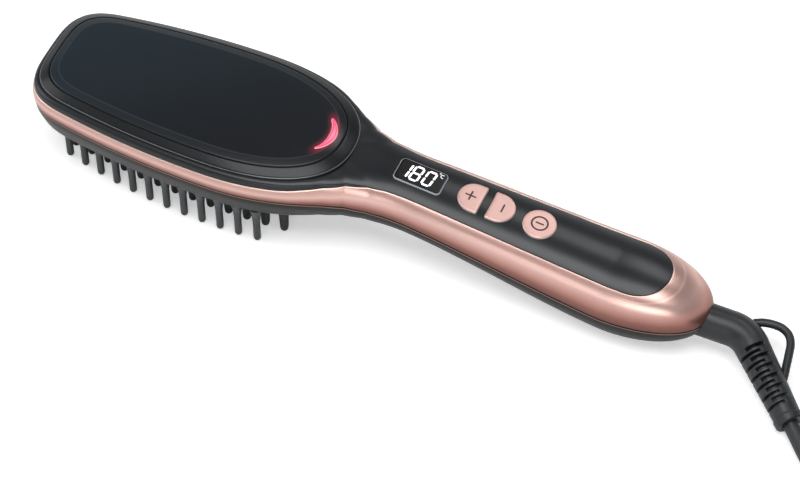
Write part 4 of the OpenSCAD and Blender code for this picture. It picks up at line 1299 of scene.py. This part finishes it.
@dataclass(frozen=True)
class Display:
    """Window with its lit figures."""

    deck: Deck = Deck()
    length: float = 20.6
    width: float = 11.6
    at: float = 10.4
    figure_w: float = 4.25
    figure_h: float = 7.9
    stroke: float = 0.82
    lefts: tuple[float, ...] = (-8.9, -4.05, 1.4)
    middle: float = 0.2
    lean: float = 0.12
    back: float = -0.11
    front: float = -0.06

    def segment(self, x0: float, y0: float, x1: float, y1: float) -> Patch:
        """Build one bar with pointed ends between two points, a little short of each."""
        run = np.array([x1 - x0, y1 - y0])
        length = float(np.hypot(*run))
        run = run / length
        side = np.array([-run[1], run[0]]) * self.stroke / 2
        a, b = np.array([x0, y0]) + run * 0.16, np.array([x1, y1]) - run * 0.16
        tip = run * self.stroke / 2
        outline = np.array([a, a + tip - side, b - tip - side, b, b - tip + side, a + tip + side])
        outline[:, 0] += self.lean * (outline[:, 1] - self.middle) + self.at
        return prism(outline, self.back, self.front)

    def figure(self, left: float, bars: str) -> list[Patch]:
        """Return the bars a to g of one seven-bar figure whose left side is at left."""
        s, h = self.stroke / 2, self.figure_h / 2
        x0, x1 = left + s, left + self.figure_w - s
        low, mid, top = self.middle - h + s, self.middle, self.middle + h - s
        ends = {"a": (x0, top, x1, top), "b": (x1, mid, x1, top), "c": (x1, low, x1, mid),
                "d": (x0, low, x1, low), "e": (x0, low, x0, mid), "f": (x0, mid, x0, top),
                "g": (x0, mid, x1, mid)}
        return [self.segment(*ends[b]) for b in bars]

    def build(self, shop: Workshop) -> None:
        """Make the window, the figures 180 and the degree sign with its C."""
        line = soften(np.array([[0, -1.6], [0, -0.45], [0.35, -0.1], [1.2, -0.1]]), 0.3)
        outlines = rounded_rectangle(self.length, self.width, 2.0, line[:, 0]) + [self.at, 0]
        glass = stack(outlines, line[:, 1], line[:, 0])
        shop.piece("display_glass", glass.turned(self.deck), WINDOW, Body.BRUSH,
                   ["display_window"], crease=30.0)
        bars = self.figure(self.lefts[0], "bc") + self.figure(self.lefts[1], "abcdefg")
        bars += self.figure(self.lefts[2], "abcdef")
        figures = Patch.join(bars).turned(self.deck)
        shop.piece("display_figures", figures, DIGIT, Body.BRUSH, crease=30.0)
        letter = np.concatenate([arc(8.0, 3.6, 0.95, 50, 310, 24),
                                 arc(8.0, 3.6, 0.62, 310, 50, 24)])
        ring = collar(0.22, 0.4, self.back, self.front, 24)
        degree = ring.moved([[self.at + 6.7, 4.6, 0]])
        letter = letter * [0.85, 1] + [self.at + 1.1, 0]
        unit = Patch.join([prism(letter, self.back, self.front), degree])
        shop.piece("display_unit", unit.turned(self.deck), UNIT, Body.BRUSH, crease=30.0)


@dataclass(frozen=True)
class Keys:
    """Split plus and minus key, and the round power key."""

    deck: Deck = Deck()
    keys_at: float = 38.9
    power_at: float = 61.7
    length: float = 24.2
    width: float = 13.8
    gap: float = 3.4
    power_d: float = 13.8
    proud: float = 0.5
    line: tuple[tuple[float, float], ...] = (
        (-1.0, -4.2), (-1.0, -3.3), (0.0, -3.29), (0.0, 0.1), (0.4, 0.5), (2.2, 0.5), (3.2, 0.49))

    def half_oval(self, inset: Array) -> Array:
        """Return outlines of the right half of the split key, drawn in by each inset.

        The flat side lies at gap / 2, and the far side is a half circle of the key's width.
        """
        inset = np.asarray(inset, float)[:, None]
        straight = (self.length - self.width - self.gap) / 2
        x0, r = self.gap / 2 + inset, self.width / 2 - inset
        corner = np.maximum(0.7 - inset, 0.12)
        a = np.radians(np.linspace(-90, 90, 49))[None]
        far = np.stack([self.gap / 2 + straight + r * np.cos(a), r * np.sin(a)], -1)
        b = np.radians(np.linspace(90, 180, 7))[None]
        up = np.stack([x0 + corner + corner * np.cos(b), r - corner + corner * np.sin(b)], -1)
        return np.concatenate([far, up, up[:, ::-1] * [1, -1]], 1)

    def disc(self, inset: Array) -> Array:
        """Return circles of the power key drawn in by each inset."""
        r = self.power_d / 2 - np.asarray(inset, float)[:, None]
        a = 2 * np.pi * np.arange(72)[None] / 72
        return np.stack([r * np.cos(a), r * np.sin(a)], -1)

    def outlines(self, inset: float) -> list[Array]:
        """Return the outlines of the three keys on the deck, drawn in by inset."""
        right = self.half_oval([inset])[0]
        return [right * [-1, 1] + [self.keys_at, 0], right + [self.keys_at, 0],
                self.disc([inset])[0] + [self.power_at, 0]]

    def symbols(self) -> dict[Body, list[Patch]]:
        """Return the plus, the bar and the power sign, a hair above their keys."""
        low, high = self.proud - 0.02, self.proud + 0.015
        middle = (self.gap + (self.length - self.gap) / 2) / 2
        a, w = 2.35, 0.36
        cross = np.array([[w, -w], [a, -w], [a, w], [w, w], [w, a], [-w, a], [-w, w], [-a, w],
                          [-a, -w], [-w, -w], [-w, -a], [w, -a]]) + [self.keys_at - middle, 0]
        bar = box(w, 2.1)
        ring = collar(2.85, 3.6, low, high, 64).moved([[self.power_at, 0, 0]])
        stem = box(1.75, w) + [self.power_at, 0]
        return {Body.PLUS: [prism(cross, low, high)],
                Body.MINUS: [prism(bar + [self.keys_at + middle, 0], low, high)],
                Body.POWER: [ring, prism(stem, low, high)]}

    def build(self, shop: Workshop) -> None:
        """Make the three keys and their symbols."""
        line = soften(np.array(self.line), 0.28)
        right = self.half_oval(line[:, 0])
        shapes = {Body.PLUS: right * [-1, 1] + [self.keys_at, 0],
                  Body.MINUS: right + [self.keys_at, 0],
                  Body.POWER: self.disc(line[:, 0]) + [self.power_at, 0]}
        signs = self.symbols()
        for body, outlines in shapes.items():
            node = body.value.replace("_key", "_button")
            cap = stack(outlines, line[:, 1], np.maximum(line[:, 0], 0) + 0.3)
            shop.piece(f"{body.value}_cap", cap.turned(self.deck), KEY, body,
                       [node], crease=32.0)
            sign = Patch.join(signs[body]).turned(self.deck)
            shop.piece(f"{body.value}_sign", sign, SYMBOL, body, crease=30.0)


# ---------------------------------------------------------------- pins


@dataclass(frozen=True)
class PinBed:
    """Spacer pins along both sides and heated pins between them."""

    first: float = 16.0
    pitch: float = 8.22
    middle: float = 86.0
    half_width: float = 27.2
    bow: float = 9.6
    bow_reach: float = 70.0
    pairs: int = 12
    across: float = 0.35
    spacer: tuple[tuple[float, float], ...] = (
        (0, 0), (0.35, 0), (0.93, 0.2), (1.37, 0.7), (1.55, 1.4), (1.55, 11.8), (1.85, 15.4),
        (2.45, 18.4), (2.95, 20.6), (1.2, 20.6), (1.2, 22), (0, 22))
    cone: tuple[tuple[float, float], ...] = (
        (0, 0.8), (0.5, 0.8), (1.2, 1.05), (1.6, 1.6), (1.75, 2.4), (1.85, 4.2), (2.0, 9.0),
        (2.55, 15.5), (3.1, 20.6), (1.5, 20.6), (1.5, 22.6), (0, 22.6))

    def row(self, x: Array) -> Array:
        """Return the outer row's distance from the middle line: half_width - bow u^2."""
        return self.half_width - self.bow * ((self.middle - x) / self.bow_reach) ** 2

    def build(self, shop: Workshop) -> None:
        """Make both kinds of pins."""
        x = self.first + self.pitch * np.arange(self.pairs)
        sides = np.concatenate([np.stack([x, s * self.row(x), 0 * x], -1) for s in (-1, 1)])
        pin = lathe(soften(np.array(self.spacer), 0.35, 4), 20)
        shop.piece("spacer_pin_rows", pin.moved(sides), PIN, Body.BRUSH,
                   ["spacer_pins"])
        x = self.first + self.pitch * np.arange(self.pairs + 1)[:, None]
        k = self.across * np.arange(-2, 3)[None]
        spots = np.stack(np.broadcast_arrays(x, k * self.row(x), 0 * x), -1).reshape(-1, 3)
        cone = lathe(soften(np.array(self.cone), 0.35, 3), 16)
        shop.piece("heated_pin_rows", cone.moved(spots), CONE, Body.BRUSH,
                   ["heated_pins"])


# ---------------------------------------------------------------- cord


@dataclass(frozen=True)
class CordSet:
    """Swivelling elbow with its ribbed sleeve, hanging rod, cord, coil and plug."""

    boss_x: float = 286.0
    corner_x: float = 306.6
    axis_z: float = 13.0
    roll: float = 13.6
    boss_r: float = 7.1
    elbow_r: float = 14.0
    sleeve_l: float = 42.0
    sleeve_r: float = 5.5
    cord_d: float = 6.5
    coil_turns: float = 6.75
    coil_pitch: float = 6.95
    coil_mid_r: float = 38.0
    plug_at: tuple[float, float, float] = (420.2, -42.4, 20.7)
    plug_way: float = 60.0
    plug_l: float = 57.0
    socket_l: float = 3.0
    sides: int = 144
    slot_r: float = 4.4
    slot_pitch: float = 4.6
    slots: tuple[tuple[float, ...], ...] = ((5.4, 90, 200, 1.1), (3.1, 0, 70, 1.5))
    rod_r: float = 1.7
    rod_route: tuple[tuple[float, ...], ...] = (
        (1.5, -5.2, 0), (4.5, -6.6, 0), (9, -7.4, 0), (13.2, -7, 0), (16.2, -5.2, 0),
        (18, -2.2, 0), (18.9, 2, 0), (19.7, 7, 0), (20.4, 11.5, 0), (20.8, 15, 0))
    coil_at: tuple[float, float, float] = (124, -12, 3.3)
    coil_rise: float = 7.0
    ground: tuple[tuple[float, ...], ...] = (
        (54, -38.5, 4), (62, -46.5, 3.4), (72, -54, 3.3), (84, -59.3, 3.3), (97, -61.5, 3.3),
        (108, -61.7, 3.3), (117.5, -61.7, 3.3))
    tail: tuple[tuple[float, ...], ...] = (
        (74.3, -18.5, 10.3), (74.3, -25, 10.3), (74.3, -35, 11.3), (76.8, -46.4, 12.5),
        (83.9, -55.7, 13.9), (94.3, -61.1, 15.6), (106, -61.6, 17.3), (116.8, -57.1, 19.4),
        (124.7, -48.46, 20.7), (128.2, -42.4, 20.7))

    def swivel(self, points: Array) -> Array:
        """Return points of the bend's plane in the brush's frame, turned about the swivel."""
        a = math.radians(180 + self.roll)
        c, s = math.cos(a), math.sin(a)
        return points @ np.array([[1, 0, 0], [0, c, -s], [0, s, c]]).T + [0, 0, self.axis_z]

    def out(self) -> Array:
        """Return the direction in which the sleeve leaves the elbow."""
        return self.swivel(np.array([[1, 1, 0]]) / math.sqrt(2))[0] - [0, 0, self.axis_z]

    def sleeve(self) -> Patch:
        """Build the elbow and the ribbed sleeve as one section carried round the bend.

        The radius is boss_r up to the bend's end and then tapers. Two kinds of slot sink it to
        slot_r: long ones round the outer side and short ones between them.

        Returns:
            A closed surface with a socket for the cord in its end.
        """
        reach = self.elbow_r * math.tan(math.radians(22.5))
        bend = self.elbow_r * math.radians(45)
        start = self.corner_x - reach
        boss = start - self.boss_x
        run = np.concatenate([np.linspace(0, boss, 12)[:-1], boss + np.linspace(0, bend, 24)[:-1],
                              boss + bend + np.linspace(0, self.sleeve_l - reach, 380)])
        a = clamp((run - boss) / bend) * math.radians(45)
        tail = np.maximum(run - boss - bend, 0)
        x = (np.minimum(run, boss) + self.boss_x + self.elbow_r * np.sin(a)
             + tail * math.cos(math.pi / 4))
        y = self.elbow_r * (1 - np.cos(a)) + tail * math.sin(math.pi / 4)
        at = tail + reach
        taper = mix(self.boss_r, self.sleeve_r, (at - reach) / (self.sleeve_l - reach))
        r = np.where(tail > 0, taper, self.boss_r)
        end = self.sleeve_l - self.socket_l
        r = r + 0.4 * smooth(end - 0.3, end + 0.1, at) - 0.35 * smooth(end + 2.5, end + 3.0, at)
        sides = self.sides
        turn = 2 * np.pi * np.arange(sides) / sides
        deep = np.zeros((len(run), sides))
        for first, centre, sweep, width in self.slots:
            off = np.abs((np.degrees(turn) - centre + 180) % 360 - 180)
            round_ = 1 - smooth(sweep / 2 - 4, sweep / 2 + 4, off)
            spots = reach + first + self.slot_pitch * np.arange(6)
            near = np.abs(at[:, None] - spots[None]).min(1)
            along = 1 - smooth(width / 2 - 0.12, width / 2 + 0.12, near)
            deep = np.maximum(deep, along[:, None] * round_[None])
        radius = mix(r[:, None], np.minimum(r[:, None], self.slot_r), deep)
        normal = np.stack([-np.sin(a), np.cos(a), 0 * a], -1)
        below = np.array([0.0, 0.0, -1.0])
        path = np.stack([x, y, 0 * x], -1)
        socket = self.cord_d / 2 + 0.2
        inward = path[-1] - self.socket_l * np.array([1, 1, 0]) / math.sqrt(2)
        path = np.vstack([path, path[-1], path[-1], inward])
        mouth = [np.full((1, sides), socket + 0.25), np.full((2, sides), socket)]
        radius = np.vstack([radius, *mouth])
        normal = np.vstack([normal, normal[-1:], normal[-1:], normal[-1:]])
        c, s = np.cos(turn)[None, :, None], np.sin(turn)[None, :, None]
        points = path[:, None] + radius[..., None] * (c * below + s * normal[:, None])
        uv = np.stack(np.broadcast_arrays(np.append(run, [run[-1]] * 3)[:, None], turn[None]), -1)
        patch = Patch.grid(self.swivel(points), uv)
        return patch.fan(0, sides).fan(len(path) - 1, sides)

    def rod(self) -> Patch:
        """Build the hanging rod, a round bar that stands off the elbow's inner side."""
        path = spline(np.array(self.rod_route) + [self.corner_x, 0, 0], 8)
        patch = tube(path, np.full(len(path), self.rod_r), 20, np.array([0.0, 0, 1]))
        return Patch(self.swivel(patch.points), patch.faces, patch.uv)

    def route(self) -> Array:
        """Return the cord's centreline: out over the ground, round the coil and to the plug."""
        out = self.out()
        corner = self.swivel(np.array([[self.corner_x, 0, 0]]))[0]
        exit_ = corner + (self.sleeve_l - self.socket_l) * out
        end = np.array([2 * HALF_LENGTH, 0, 0])
        ground = np.array(self.ground) + end
        lead = spline(np.vstack([exit_, exit_ + 8 * out, ground]), 6)
        whole = 2 * np.pi * self.coil_turns
        a = np.linspace(0, whole, int(self.coil_turns * 48) + 1)
        spread = self.coil_pitch * self.coil_turns / 4
        r = mix(self.coil_mid_r + spread, self.coil_mid_r - spread, 1 - np.abs(1 - 2 * a / whole))
        rise = self.coil_rise * smooth(whole / 2 - np.pi / 2, whole / 2 + np.pi / 2, a)
        coil = end + self.coil_at + np.stack([r * np.sin(a), -r * np.cos(a), rise], -1)
        return np.vstack([lead, coil, spline(np.array(self.tail) + end, 5)])

    def plug(self) -> Patch:
        """Build the flat two-pin plug with its grooved tail.

        A section at distance t behind the face is the superellipse |y / a|^n + |z / b|^n = 1, whose
        half width a, half height b and power n are smooth functions of t.

        Returns:
            The plug's body, its tail and the sleeves of its pins, along plug_way from plug_at.
        """
        knots = np.array([[0, 15.6, 4.9, 3.6], [0.9, 16.6, 6.2, 3.6], [3, 17.5, 6.85, 3.6],
                          [16, 17.5, 6.85, 3.4], [25, 12.8, 6.85, 3.0], [31, 9.4, 6.5, 2.6],
                          [37, 6.4, 6.1, 2.1], [38, 5.8, 5.8, 2], [60, 4.45, 4.45, 2]])
        t = np.concatenate([np.linspace(0, 38, 60), np.linspace(38, 60, 90)[1:]])
        a, b, n = (np.interp(t, knots[:, 0], knots[:, k]) for k in (1, 2, 3))
        wave = np.maximum(0, t - 40.5) / 3.4
        wave = wave % 1
        groove = 0.75 * smooth(0.55, 0.75, wave) * (1 - smooth(0.85, 1.0, wave))
        groove = groove * (t > 40.5) * (t < 58)
        a, b = a - groove, b - groove
        angle = 2 * np.pi * np.arange(72)[None] / 72
        c, s, n = np.cos(angle), np.sin(angle), n[:, None]
        k = (np.abs(c) ** n + np.abs(s) ** n) ** (-1 / n)
        y, z = a[:, None] * k * c, b[:, None] * k * s
        x = np.broadcast_to(self.plug_l - t[:, None], y.shape)
        uv = np.stack(np.broadcast_arrays(x, angle), -1)
        body = Patch.grid(np.stack([x, y, z], -1), uv).fan(0, 72).fan(len(t) - 1, 72)
        pin = lathe(soften(np.array([[0, -1], [2, -1], [2, 10], [0, 10]], float), 0.15), 32)
        turned = Patch(pin.points @ np.array([[0, 0, -1], [0, 1, 0], [1, 0, 0]]), pin.faces, pin.uv)
        whole = Patch.join([body, turned.moved([[self.plug_l, s * 9.3, 0] for s in (-1, 1)])])
        way = math.radians(self.plug_way)
        along, over = math.cos(way), math.sin(way)
        turn = np.array([[along, over, 0], [-over, along, 0], [0, 0, 1]])
        whole.points = whole.points @ turn + self.plug_at
        return whole

    def build(self, shop: Workshop) -> None:
        sleeve = shop.piece("swivel_elbow_sleeve", self.sleeve(), SHEATH, Body.CORD,
                            ["strain_relief"], crease=50.0)
        rod = shop.piece("hanging_rod", self.rod(), SHEATH, Body.CORD,
                         ["hanging_loop"])
        path = self.route()
        keep = np.append(True, np.linalg.norm(np.diff(path, axis=0), axis=1) > 1e-6)
        path = path[keep]
        radius = np.full(len(path), self.cord_d / 2)
        cord = shop.piece("mains_lead", tube(path, radius, 20, np.array([0.0, 0, 1])), SHEATH,
                          Body.CORD, ["mains_cord", "cord_coil", "cord_tail"])
        plug = shop.piece("mains_plug", self.plug(), SHEATH, Body.CORD,
                          ["plug_body"], crease=40.0)


# ---------------------------------------------------------------- studio


@dataclass(frozen=True)
class Studio:
    """Camera, lamps, world and floor."""

    camera_at: tuple[float, float, float] = (0.3202, -0.6916, 0.9626)
    camera_turn: tuple[float, float, float] = (38.0, 0.0, 24.0)
    lens: float = 135.0
    floor_size: float = 8.0
    lift: float = 0.4
    lamps: tuple[tuple[Any, ...], ...] = (
        ("overhead", (0.1, -0.35, 1.5), (0.0, 0.0, 0.0), (1.2, 0.8), 15.0),
        ("strip", (0.2, 1.0, 1.45), (0.05, 0.0, 0.0), (0.75, 0.22), 4.0),
        ("left", (-1.3, -0.3, 0.9), (0.0, 0.0, 0.0), (0.9, 0.9), 6.0),
        ("front", (0.5, -1.4, 0.8), (0.05, 0.0, 0.0), (1.2, 0.5), 6.0))

    def camera(self) -> None:
        """Make the camera at the photograph's angle."""
        data = bpy.data.cameras.new("camera")
        data.lens, data.sensor_width, data.sensor_fit = self.lens, 36.0, "HORIZONTAL"
        data.clip_end = 50.0
        obj = bpy.data.objects.new("camera", data)
        obj.location = self.camera_at
        obj.rotation_euler = [math.radians(a) for a in self.camera_turn]
        bpy.context.scene.collection.objects.link(obj)
        bpy.context.scene.camera = obj

    def lamp(self, name: str, at: tuple[float, float, float], aim: tuple[float, float, float],
             size: tuple[float, float], power: float) -> None:
        """Make a rectangular soft lamp.

        Args:
            name: Name of the lamp.
            at: Its place in metres.
            aim: Point that it faces.
            size: Its two sides in metres.
            power: Its power in watts.
        """
        data = bpy.data.lights.new(name, "AREA")
        data.shape, data.size, data.size_y, data.energy = "RECTANGLE", size[0], size[1], power
        obj = bpy.data.objects.new(name, data)
        obj.location = at
        away = np.array(at) - np.array(aim)
        flat = math.hypot(away[0], away[1])
        obj.rotation_euler = (math.atan2(flat, away[2]), 0.0, math.atan2(away[0], -away[1]))
        bpy.context.scene.collection.objects.link(obj)

    def world(self) -> None:
        """Make a room that is white to the camera and dims overhead for reflections."""
        world = bpy.data.worlds.new("room")
        bpy.context.scene.world = world
        paint = Paint(world, "ShaderNodeOutputWorld")
        height = paint.axis(paint.node("ShaderNodeTexCoord", {}, {}, "Generated"), "Z")
        grey = [(0.0, 1.0), (0.15, 0.9), (0.4, 0.45), (0.62, 0.16), (0.88, 0.14), (1.0, 0.3)]
        stops = [(p, (v, v, v * 1.02)) for p, v in grey]
        sky = paint.node("ShaderNodeValToRGB", {"stops": stops}, {0: height})
        seen = paint.node("ShaderNodeLightPath", {}, {}, "Is Camera Ray")
        dome = paint.node("ShaderNodeBackground", {}, {"Color": sky, "Strength": 1.0})
        white = paint.node("ShaderNodeBackground", {}, {"Color": WHITE, "Strength": 1.0})
        paint.close(paint.node("ShaderNodeMixShader", {}, {0: seen, 1: dome, 2: white}))

    def floor(self) -> None:
        """Make the pale floor, which is lifted to white where nothing shades it."""
        mesh = bpy.data.meshes.new("floor")
        s = self.floor_size / 2
        mesh.from_pydata([(-s, -s, 0), (s, -s, 0), (s, s, 0), (-s, s, 0)], [], [(0, 1, 2, 3)])
        obj = bpy.data.objects.new("floor", mesh)
        bpy.context.scene.collection.objects.link(obj)
        paint = Paint(bpy.data.materials.new("floor_paper"))
        place = paint.place()
        tone = paint.tint(paint.noise(place, 40.0), (0.86, 0.86, 0.86), (0.88, 0.88, 0.88))
        paper = paint.node("ShaderNodeBsdfDiffuse", {}, {"Color": tone})
        seen = paint.node("ShaderNodeLightPath", {}, {}, "Is Camera Ray")
        lift = paint.node("ShaderNodeEmission", {}, {"Color": WHITE, "Strength": seen * self.lift})
        paint.close(paint.node("ShaderNodeAddShader", {}, {0: paper, 1: lift}))
        mesh.materials.append(paint.owner)

    def build(self) -> None:
        """Set up the studio and the view."""
        self.camera()
        self.world()
        self.floor()
        for lamp in self.lamps:
            self.lamp(*lamp)
        bpy.context.scene.view_settings.view_transform = "Standard"


def main() -> None:
    Studio().build()
    shop = Workshop()
    CordSet().build(shop)
    keys = Keys()
    Housing().build(shop, keys)
    BackPanel().build(shop)
    Display().build(shop)
    keys.build(shop)
    PinBed().build(shop)
    for finish, nodes in CARRIED:
        shop.dress(finish, *nodes)
    log.info("%d pieces made", len(shop.made))


if __name__ == "__main__":
    logging.basicConfig(level=logging.INFO, format="%(name)s: %(message)s", stream=sys.stdout)
    main()
